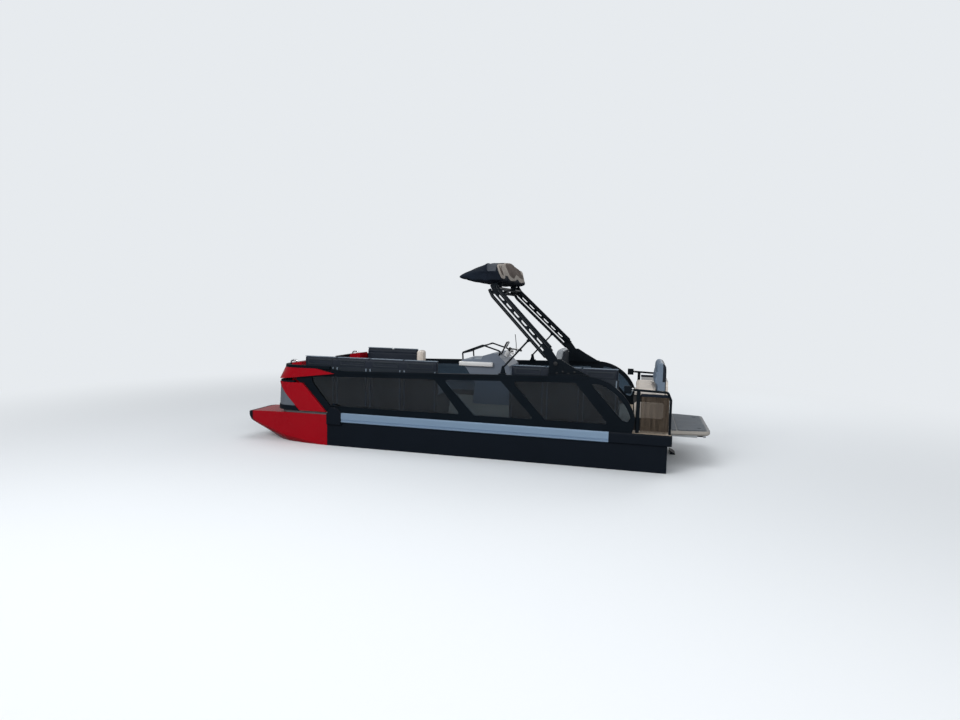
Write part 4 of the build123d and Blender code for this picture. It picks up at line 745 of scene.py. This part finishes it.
class BOAT_OT_seat_frames(bpy.types.Operator):
    """Slim uprights behind the glass that carry the backrests"""
    bl_idname = "boat.seat_frames"
    bl_label = "Seat frames"

    def execute(self, context):
        half, apart = 0.008, 0.032      # half a post's width, and its place beside the joint
        for name, side, front, rear, count in BENCHES:
            pitch = (front - rear) / count
            posts = []
            for index in range(count + 1):
                for step in (-apart, apart):
                    x = rear + pitch * index + step
                    if rear < x < front:
                        posts.append(on_side(side, shaped_block(
                            "post", (x - half, 1.0955, DECK + 0.002),
                            (x + half, 1.112, DECK + 0.630), 0.003)))
            put(join(f"{name}_seat_frame", posts), "piping")
        return {"FINISHED"}


class BOAT_OT_bench_arm(bpy.types.Operator):
    """Pale moulded arm and low end panel at the rear of the starboard bench"""
    bl_idname = "boat.bench_arm"
    bl_label = "Bench arm"

    def execute(self, context):
        outer, foot, rear = -1.085, DECK + 0.004, 1.397
        arm = rounded_slab("Starboard_bench_arm", (1.285, outer, foot),
                           (rear, -0.930, DECK + 0.755), 1, 0.040, 0.012)
        panel = rounded_slab("panel", (1.362, outer, foot),
                             (rear, -0.560, DECK + 0.420), 0, 0.050, 0.008)
        put(join("Starboard_bench_arm", [arm, panel]), "cream_shell")
        return {"FINISHED"}


class BOAT_OT_lounge(bpy.types.Operator):
    """Stern lounge: cream cushions, grey wedge, drink holders, side pad and board"""
    bl_idname = "boat.lounge"
    bl_label = "Stern lounge"

    def execute(self, context):
        size = sizes()
        pad = loose_copy("lounge_cushions", "Lounge_cushions")
        puff_up(pad, size.puff, 0.013, 0.006)
        press_seams(pad, [(0, -2.30, UP), (0, -2.52, UP), (1, 0.03, UP)], size.seam_depth, 0.009)
        paint(pad, "cream_vinyl")
        lay(pad, "lounge_cushions")

        wedge = loose_copy("lounge_backrest", "Lounge_wedge")
        puff_up(wedge, size.puff * 0.6, 0.012, 0.005)
        press_seams(wedge, [(2, DECK + 0.700, FORWARD), (1, 0.0, FORWARD), (1, 0.2, FORWARD),
                            (1, -0.2, FORWARD)], size.seam_depth, 0.008)
        paint(wedge, "grey_vinyl", "upholstery")
        for face in wedge.data.polygons:
            if face.center.x < -2.628 and face.center.z > DECK + 0.56:
                face.material_index = 1
        lay(wedge, "lounge_backrest")

        holders = []
        for x, y in ((-2.40, 0.90), (-2.53, 0.94)):
            bpy.ops.object.select_all(action="DESELECT")
            bpy.ops.mesh.primitive_cylinder_add(vertices=40, radius=0.044, depth=0.006,
                                                location=(x, y, DECK + 0.4985))
            cup = settle(bpy.context.active_object, "cup")
            pick_faces(cup, 2)
            inset_faces([(0.006, 0), (0.001, -0.0055)])
            holders.append(cup)
        put(join("Drink_holders", holders), "screen_glass")
        side_pad = rounded_slab("Lounge_side_pad", (-2.630, 1.0950, DECK + 0.185),
                                (-2.275, 1.122, DECK + 0.385), 1, 0.035, 0.006)
        put(side_pad, "cream_vinyl")
        board = shaped_block("Lounge_side_board", (-2.695, 1.0903, DECK + 0.020),
                             (-2.262, 1.0945, DECK + 0.470), 0.001)
        put(board, "rubber")
        return {"FINISHED"}


class BOAT_OT_chair(bpy.types.Operator):
    """Cushions of the turning helm chair"""
    bl_idname = "boat.chair"
    bl_label = "Helm chair"

    def execute(self, context):
        size = sizes()
        pad = loose_copy("chair_cushions", "Chair_cushions")
        puff_up(pad, size.puff * 0.7, 0.012, 0.005)
        face = Vector((1, 0, 0.3))
        press_seams(pad, [(1, -0.82, face), (1, -0.50, face), (2, DECK + 0.70, face),
                          (1, -0.82, UP), (1, -0.50, UP)], size.seam_depth, 0.008)
        paint(pad, "seat_insert")
        lay(pad, "chair_cushions", "chair")
        return {"FINISHED"}


def hump(offset, width):
    return math.exp(-(offset / width) ** 2)


class BOAT_OT_canopy(bpy.types.Operator):
    """Rolled canopy in its bag: creases, two pulled-in straps and painted sunlight on the roll
    behind
    """
    bl_idname = "boat.canopy"
    bl_label = "Canopy bag"

    def execute(self, context):
        bag = loose_copy("canopy_boot", "Canopy_bag")
        puff_up(bag, 0.016, 0.014, 0.008, pressure=3.0, eased=14)
        strap = 0.46
        for vertex, normal in [(v, v.normal.copy()) for v in bag.data.vertices]:
            x, y, z = vertex.co
            around = math.atan2(z - DECK - 2.0, x + 0.27)
            fold = math.sin(y * 17 + 3.1 * math.sin(around * 2) + 0.8 * math.sin(y * 41))
            gather = 0.4 + 0.6 * hump(abs(y) - 0.82, 0.16)
            ripple = math.sin(x * 34 + 5 * math.sin(y * 4.3)) * 0.35
            vertex.co += normal * 0.007 * gather * (fold + ripple)
            if abs(abs(y) - strap) < 0.05:
                vertex.co -= normal * 0.008 * hump(abs(y) - strap, 0.018)
        bag.data.update()
        paint(bag, "canvas", "faded_canvas", "canvas_strap", "canvas_tab")
        for face in bag.data.polygons:
            x, y, z = face.center
            behind = -0.455 + 0.40 * (z - DECK - 1.995) + 0.01 * math.sin(y * 9) - x
            # Faces well behind this line take the painted sunlight of the back roll
            if behind > 0.022:
                face.material_index = 1
            elif behind > 0:
                face.material_index = 2
            elif -0.400 < x < -0.275 and z > DECK + 2.010 and abs(y) > 0.70:
                face.material_index = 3
        lay(bag, "canopy_boot", "tower")
        return {"FINISHED"}


class BOAT_OT_nets(bpy.types.Operator):
    """Gathered nets hung from the stern rails"""
    bl_idname = "boat.nets"
    bl_label = "Stern nets"

    def execute(self, context):
        low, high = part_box("stern_nets")
        depth = sizes().net_depth
        plane, gathered = 1.150, 1.45
        x0, x1 = low.x + 0.006, high.x - 0.006
        z0, z1 = low.z + 0.002, high.z - 0.022
        for side, side_name in SIDES:
            name = f"{side_name}_net"
            bpy.ops.object.select_all(action="DESELECT")
            bpy.ops.mesh.primitive_grid_add(x_subdivisions=150, y_subdivisions=70, size=1)
            net = settle(bpy.context.active_object, name)
            for vertex in net.data.vertices:
                x = (x0 + x1) / 2 + vertex.co.x * (x1 - x0)
                z = (z0 + z1) / 2 + vertex.co.y * (z1 - z0)
                drop = (z1 - z) / (z1 - z0)
                wave = math.sin(x * 88 + 1.7 * math.sin(x * 23) + 0.5 * math.sin(z * 11))
                wave += 0.5 * math.sin(x * 190 + z * 7)
                sag = 0.006 * math.sin(math.pi * drop)
                y = plane + depth * 0.5 * (0.35 + 0.65 * drop) * wave + sag
                vertex.co = (x, side * y, z)
            modify(net, "SOLIDIFY", thickness=0.0016, offset=0)
            paint(net, "net")
            only(net)
            bpy.ops.object.shade_smooth()
            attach(net, "boat")
            hem = shaped_block(f"{name}_hem", (x0 - 0.004, side * plane - 0.006, z1 - 0.012),
                               (x1 + 0.004, side * plane + 0.006, high.z), 0.004)
            put(hem, "canvas")
            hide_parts("stern_nets")
        return {"FINISHED"}


# Fittings

def bolt_heads(name, places, axis, finish):
    """Six-sided heads on washers; one is modelled and the rest are copies."""
    radius = sizes().bolt
    direction = Vector(axis)
    head = turned_disc("head", direction * radius * 0.55, direction, radius, radius * 0.75,
                       radius * 0.12, 6)
    washer = turned_disc("washer", direction * radius * 0.11, direction, radius * 1.45,
                         radius * 0.22, radius * 0.06, 20)
    model = join("bolt", [head, washer])
    copies = [copy_to(model, "bolt", place) for place in places]
    bpy.data.objects.remove(model)
    put(join(name, copies), finish)


class BOAT_OT_tower_fittings(bpy.types.Operator):
    """Foot bolts and hinge caps of the folding tower"""
    bl_idname = "boat.tower_fittings"
    bl_label = "Tower fittings"

    def execute(self, context):
        for side, name in SIDES:
            rows = [(-1.30 - 0.075 * index, side * 1.1545, DECK + 0.700 + 0.02 * (index % 2))
                    for index in range(4)]
            bolt_heads(f"{name}_foot_bolts", rows, (0, side, 0), "black_plastic")
            cap = turned_disc(f"{name}_hinge_cap", (-1.280, side * 1.1585, DECK + 0.820),
                              (0, side, 0), 0.026, 0.008, 0.002)
            put(cap, "black_plastic")
        return {"FINISHED"}


class BOAT_OT_helm_fittings(bpy.types.Operator):
    """Console ledge, start knob, face of the display, bar collars and whip aerial"""
    bl_idname = "boat.helm_fittings"
    bl_label = "Helm fittings"

    def execute(self, context):
        aisle, front = -0.262, 0.436    # outer y and x of the ledge
        under, over = DECK + 0.598, DECK + 0.664
        ledge = [rounded_slab("ledge", (-0.110, -0.3196, under), (front, aisle, over),
                              2, 0.02, 0.008),
                 rounded_slab("ledge", (0.4044, -1.064, under), (front, aisle, over),
                              2, 0.012, 0.008)]
        put(join("Console_ledge", ledge), "white_plastic")
        knob = turned_disc("Start_knob", (-0.262, -0.905, DECK + 0.712), (-0.7, 0, 0.71),
                           0.018, 0.02, 0.004)
        put(knob, "white_plastic")

        display = (Matrix.Translation((-0.268, -0.540, DECK + 0.936))
                   @ Matrix.Rotation(math.radians(-28), 4, "Y"))
        screen = shaped_block("Display_screen", (-0.0145, -0.064, -0.042),
                              (-0.0128, 0.064, 0.042))
        ring = ring_points(-0.070, 0.070, -0.047, 0.047, 0, 0.015)
        rim = tube("Display_rim", [display @ Vector((-0.0135, y, z)) for y, z, _ in ring],
                   0.0045, True)
        screen.data.transform(display)
        put(screen, "screen_glass")
        put(rim, "white_plastic")

        # Collars at rest: x, distance from the column, z, radius, depth
        collars = []
        for side, _ in SIDES:
            for x, y, z, radius, depth in ((-0.3695, 0.200, 1.6687, 0.026, 0.024),
                                           (-0.4090, 0.344, 1.6457, 0.021, 0.014)):
                collars.append(turned_disc("collar", (x, -0.690 + side * y, z),
                                           (-0.26, side * 0.95, -0.16), radius, depth, 0.005))
        put(join("Bar_collars", collars), "white_plastic", "steering")
        aerial = tube("Whip_aerial", [
            (-0.300, -1.050, DECK + 0.715), (-0.302, -1.085, DECK + 0.730),
            (-0.312, -1.094, DECK + 0.80), (-0.315, -1.096, DECK + 0.92),
            (-0.290, -1.096, DECK + 1.08)], 0.006)
        put(aerial, "black_plastic")
        return {"FINISHED"}


class BOAT_OT_deck_fittings(bpy.types.Operator):
    """Cleats on the side blocks and the lamps on the stern rails"""
    bl_idname = "boat.deck_fittings"
    bl_label = "Deck fittings"

    def execute(self, context):
        # Horn of a cleat from end to end: x, height over the deck
        horn_line = ((1.745, 0.088), (1.765, 0.100), (1.820, 0.104), (1.875, 0.100),
                     (1.895, 0.088))
        for side, name in SIDES:
            across = side * 1.222
            horn = tube(f"{name}_cleat", [(x, across, DECK + z) for x, z in horn_line], 0.0075)
            feet = [turned_disc("foot", (x, across, DECK + 0.084), UP, 0.011, 0.030, 0.002)
                    for x in (1.795, 1.845)]
            put(join(f"{name}_cleat", [horn] + feet), "black_metal")
            rail = side * 1.150
            lamp = shaped_block(f"{name}_rail_lamp", (-2.262, rail - 0.012, DECK + 0.520),
                                (-2.238, rail + 0.012, DECK + 0.560), 0.006)
            put(lamp, "white_plastic")
        return {"FINISHED"}


class BOAT_OT_bow_fittings(bpy.types.Operator):
    """Bright grab handles on the bow corners"""
    bl_idname = "boat.bow_fittings"
    bl_label = "Bow fittings"

    def execute(self, context):
        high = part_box("bow_caps")[1]
        x0, top = high.x - 0.165, high.z
        # Bar from end to end: distance from its rear foot, height over the cap
        bar_line = ((0, -0.004), (0.002, 0.030), (0.030, 0.042), (0.090, 0.042),
                    (0.118, 0.030), (0.120, -0.004))
        for side, name in SIDES:
            y = side * 0.985
            bar = [tube("bar", [(x0 + step, y, top + z) for step, z in bar_line], 0.012)]
            for step in (0.035, 0.060, 0.085):
                bar.append(turned_disc("collar", (x0 + step, y, top + 0.041), FORWARD,
                                       0.018, 0.010, 0.003))
            put(join(f"{name}_bow_handle", bar), "steel")
        return {"FINISHED"}


class BOAT_OT_finishes(bpy.types.Operator):
    """Shared effects, finishes and the dressing of every carried-over piece"""
    bl_idname = "boat.finishes"
    bl_label = "Finishes"

    def execute(self, context):
        build_groups()
        build_finishes()
        dress_frame()
        return {"FINISHED"}


# Stage

CAMERA_PLACE = Vector((-2.300, 8.818, 2.352))
CAMERA_YAW = math.radians(14.754)
CAMERA_PITCH = math.radians(-5.020)
CAMERA_ROLL = math.radians(1.148)
CAMERA_LENS = 22.60
SENSOR_WIDTH = 36
BACKDROP = (0.80, 0.83, 0.86, 1)
FLOOR_IN_LIGHT = (0.30, 0.32, 0.34, 1)  # what the floor sends back up
SKY_STRENGTH = 0.42
FADE = (3.0, 11.0)                      # from the boat's middle, floor to backdrop

# Lamps: name, place, target height, size, energy
LAMPS = (
    ("Key", (4.5, 9.0, 6.5), 1.0, 5.0, 520),
    ("Front", (-4.0, 10.0, 4.0), 1.2, 6.0, 360),
    ("Far side", (-6.0, -8.0, 6.5), 1.2, 6.0, 340),
    ("Top", (0, 0, 9.5), 0, 7.0, 220),
)


def stage_material():
    """Pale floor that keeps the shadow near the boat and fades into the backdrop."""
    material = bpy.data.materials.new("Stage_floor")
    material.use_nodes = True
    tree = material.node_tree
    shader = tree.nodes["Principled BSDF"]
    seen = tree.nodes.new("ShaderNodeLightPath").outputs["Is Camera Ray"]
    tree.links.new(mix_colour(tree, seen, FLOOR_IN_LIGHT, BACKDROP), shader.inputs["Base Color"])
    shader.inputs["Roughness"].default_value = 0.9
    shader.inputs["Specular IOR Level"].default_value = 0.1
    far = node(tree, "ShaderNodeEmission", [("Color", BACKDROP), ("Strength", 1.0)])
    place = tree.nodes.new("ShaderNodeTexCoord").outputs["Object"]
    distance = node(tree, "ShaderNodeVectorMath", [(0, place)],
                    operation="LENGTH").outputs["Value"]
    fade = map_range(tree, distance, *FADE, interpolation_type="SMOOTHSTEP")
    amount = math_node(tree, "MULTIPLY", fade, seen)
    mixed = node(tree, "ShaderNodeMixShader", [
        (0, amount), (1, shader.outputs[0]), (2, far.outputs[0])])
    tree.links.new(mixed.outputs[0], tree.nodes["Material Output"].inputs[0])
    return material


def studio_world():
    """Dim sky for the light, and the plain backdrop for what is seen of it."""
    world = bpy.data.worlds.new("Studio")
    world.use_nodes = True
    tree = world.node_tree
    sky = tree.nodes["Background"]
    sky.inputs["Color"].default_value = BACKDROP
    sky.inputs["Strength"].default_value = SKY_STRENGTH
    seen = node(tree, "ShaderNodeBackground", [("Color", BACKDROP), ("Strength", 1.0)])
    path = tree.nodes.new("ShaderNodeLightPath").outputs
    direct = math_node(tree, "MAXIMUM", path["Is Camera Ray"], path["Is Transmission Ray"])
    mixed = node(tree, "ShaderNodeMixShader", [
        (0, direct), (1, sky.outputs[0]), (2, seen.outputs[0])])
    tree.links.new(mixed.outputs[0], tree.nodes["World Output"].inputs[0])
    return world


def area_lamp(name, place, target, size, energy):
    bpy.ops.object.light_add(type="AREA", location=place)
    lamp = bpy.context.active_object
    lamp.name = name
    lamp.data.shape = "DISK"
    lamp.data.size = size
    lamp.data.energy = energy
    lamp.rotation_euler = (Vector(target) - Vector(place)).to_track_quat("-Z", "Y").to_euler()


def photo_camera():
    """Camera at the photograph's place, turned by its yaw, pitch and roll."""
    forward = Vector((math.sin(CAMERA_YAW) * math.cos(CAMERA_PITCH),
                      -math.cos(CAMERA_YAW) * math.cos(CAMERA_PITCH), math.sin(CAMERA_PITCH)))
    right = forward.cross(UP).normalized()
    above = right.cross(forward)
    turned_right = math.cos(CAMERA_ROLL) * right + math.sin(CAMERA_ROLL) * above
    turned_up = -math.sin(CAMERA_ROLL) * right + math.cos(CAMERA_ROLL) * above
    bpy.ops.object.camera_add(location=CAMERA_PLACE)
    camera = bpy.context.active_object
    camera.rotation_mode = "QUATERNION"
    turn = Matrix((turned_right, turned_up, -forward)).transposed()
    camera.rotation_quaternion = turn.to_quaternion()
    camera.data.sensor_width = SENSOR_WIDTH
    camera.data.lens = CAMERA_LENS
    camera.data.clip_end = 300
    return camera


class BOAT_OT_stage(bpy.types.Operator):
    """Floor at the waterline, soft studio light and the camera"""
    bl_idname = "boat.stage"
    bl_label = "Stage"

    def execute(self, context):
        scene = context.scene
        bpy.ops.object.select_all(action="DESELECT")
        bpy.ops.mesh.primitive_plane_add(size=160, location=(0, 0, WATERLINE))
        floor = settle(bpy.context.active_object, "Stage_floor")
        floor.data.materials.append(stage_material())
        scene.world = studio_world()
        for name, place, height, size, energy in LAMPS:
            area_lamp(name, place, (0, 0, height), size, energy)
        scene.camera = photo_camera()
        scene.view_settings.view_transform = "Standard"
        return {"FINISHED"}


OPERATORS = (
    BOAT_OT_finishes, BOAT_OT_seat_cushions, BOAT_OT_backrests, BOAT_OT_seat_frames,
    BOAT_OT_bench_arm, BOAT_OT_lounge, BOAT_OT_chair, BOAT_OT_canopy, BOAT_OT_nets,
    BOAT_OT_tower_fittings, BOAT_OT_helm_fittings, BOAT_OT_deck_fittings, BOAT_OT_bow_fittings,
    BOAT_OT_stage)


class BOAT_PT_panel(bpy.types.Panel):
    """Sidebar panel that lists the settings and the pieces"""
    bl_label = "Deck Boat"
    bl_idname = "BOAT_PT_panel"
    bl_space_type = "VIEW_3D"
    bl_region_type = "UI"
    bl_category = "Deck Boat"

    def draw(self, context):
        for settings in (context.scene.boat_colours, context.scene.boat_sizes):
            for key in settings.__annotations__:
                self.layout.prop(settings, key)
        for operator in OPERATORS:
            self.layout.operator(operator.bl_idname)


CLASSES = (BoatColours, BoatSizes) + OPERATORS + (BOAT_PT_panel,)


def register():
    for item in CLASSES:
        bpy.utils.register_class(item)
    bpy.types.Scene.boat_colours = PointerProperty(type=BoatColours)
    bpy.types.Scene.boat_sizes = PointerProperty(type=BoatSizes)


def unregister():
    del bpy.types.Scene.boat_sizes
    del bpy.types.Scene.boat_colours
    for item in reversed(CLASSES):
        bpy.utils.unregister_class(item)


def main():
    register()
    for operator in OPERATORS:
        family, action = operator.bl_idname.split(".")
        getattr(getattr(bpy.ops, family), action)()


if __name__ == "__main__":
    main()
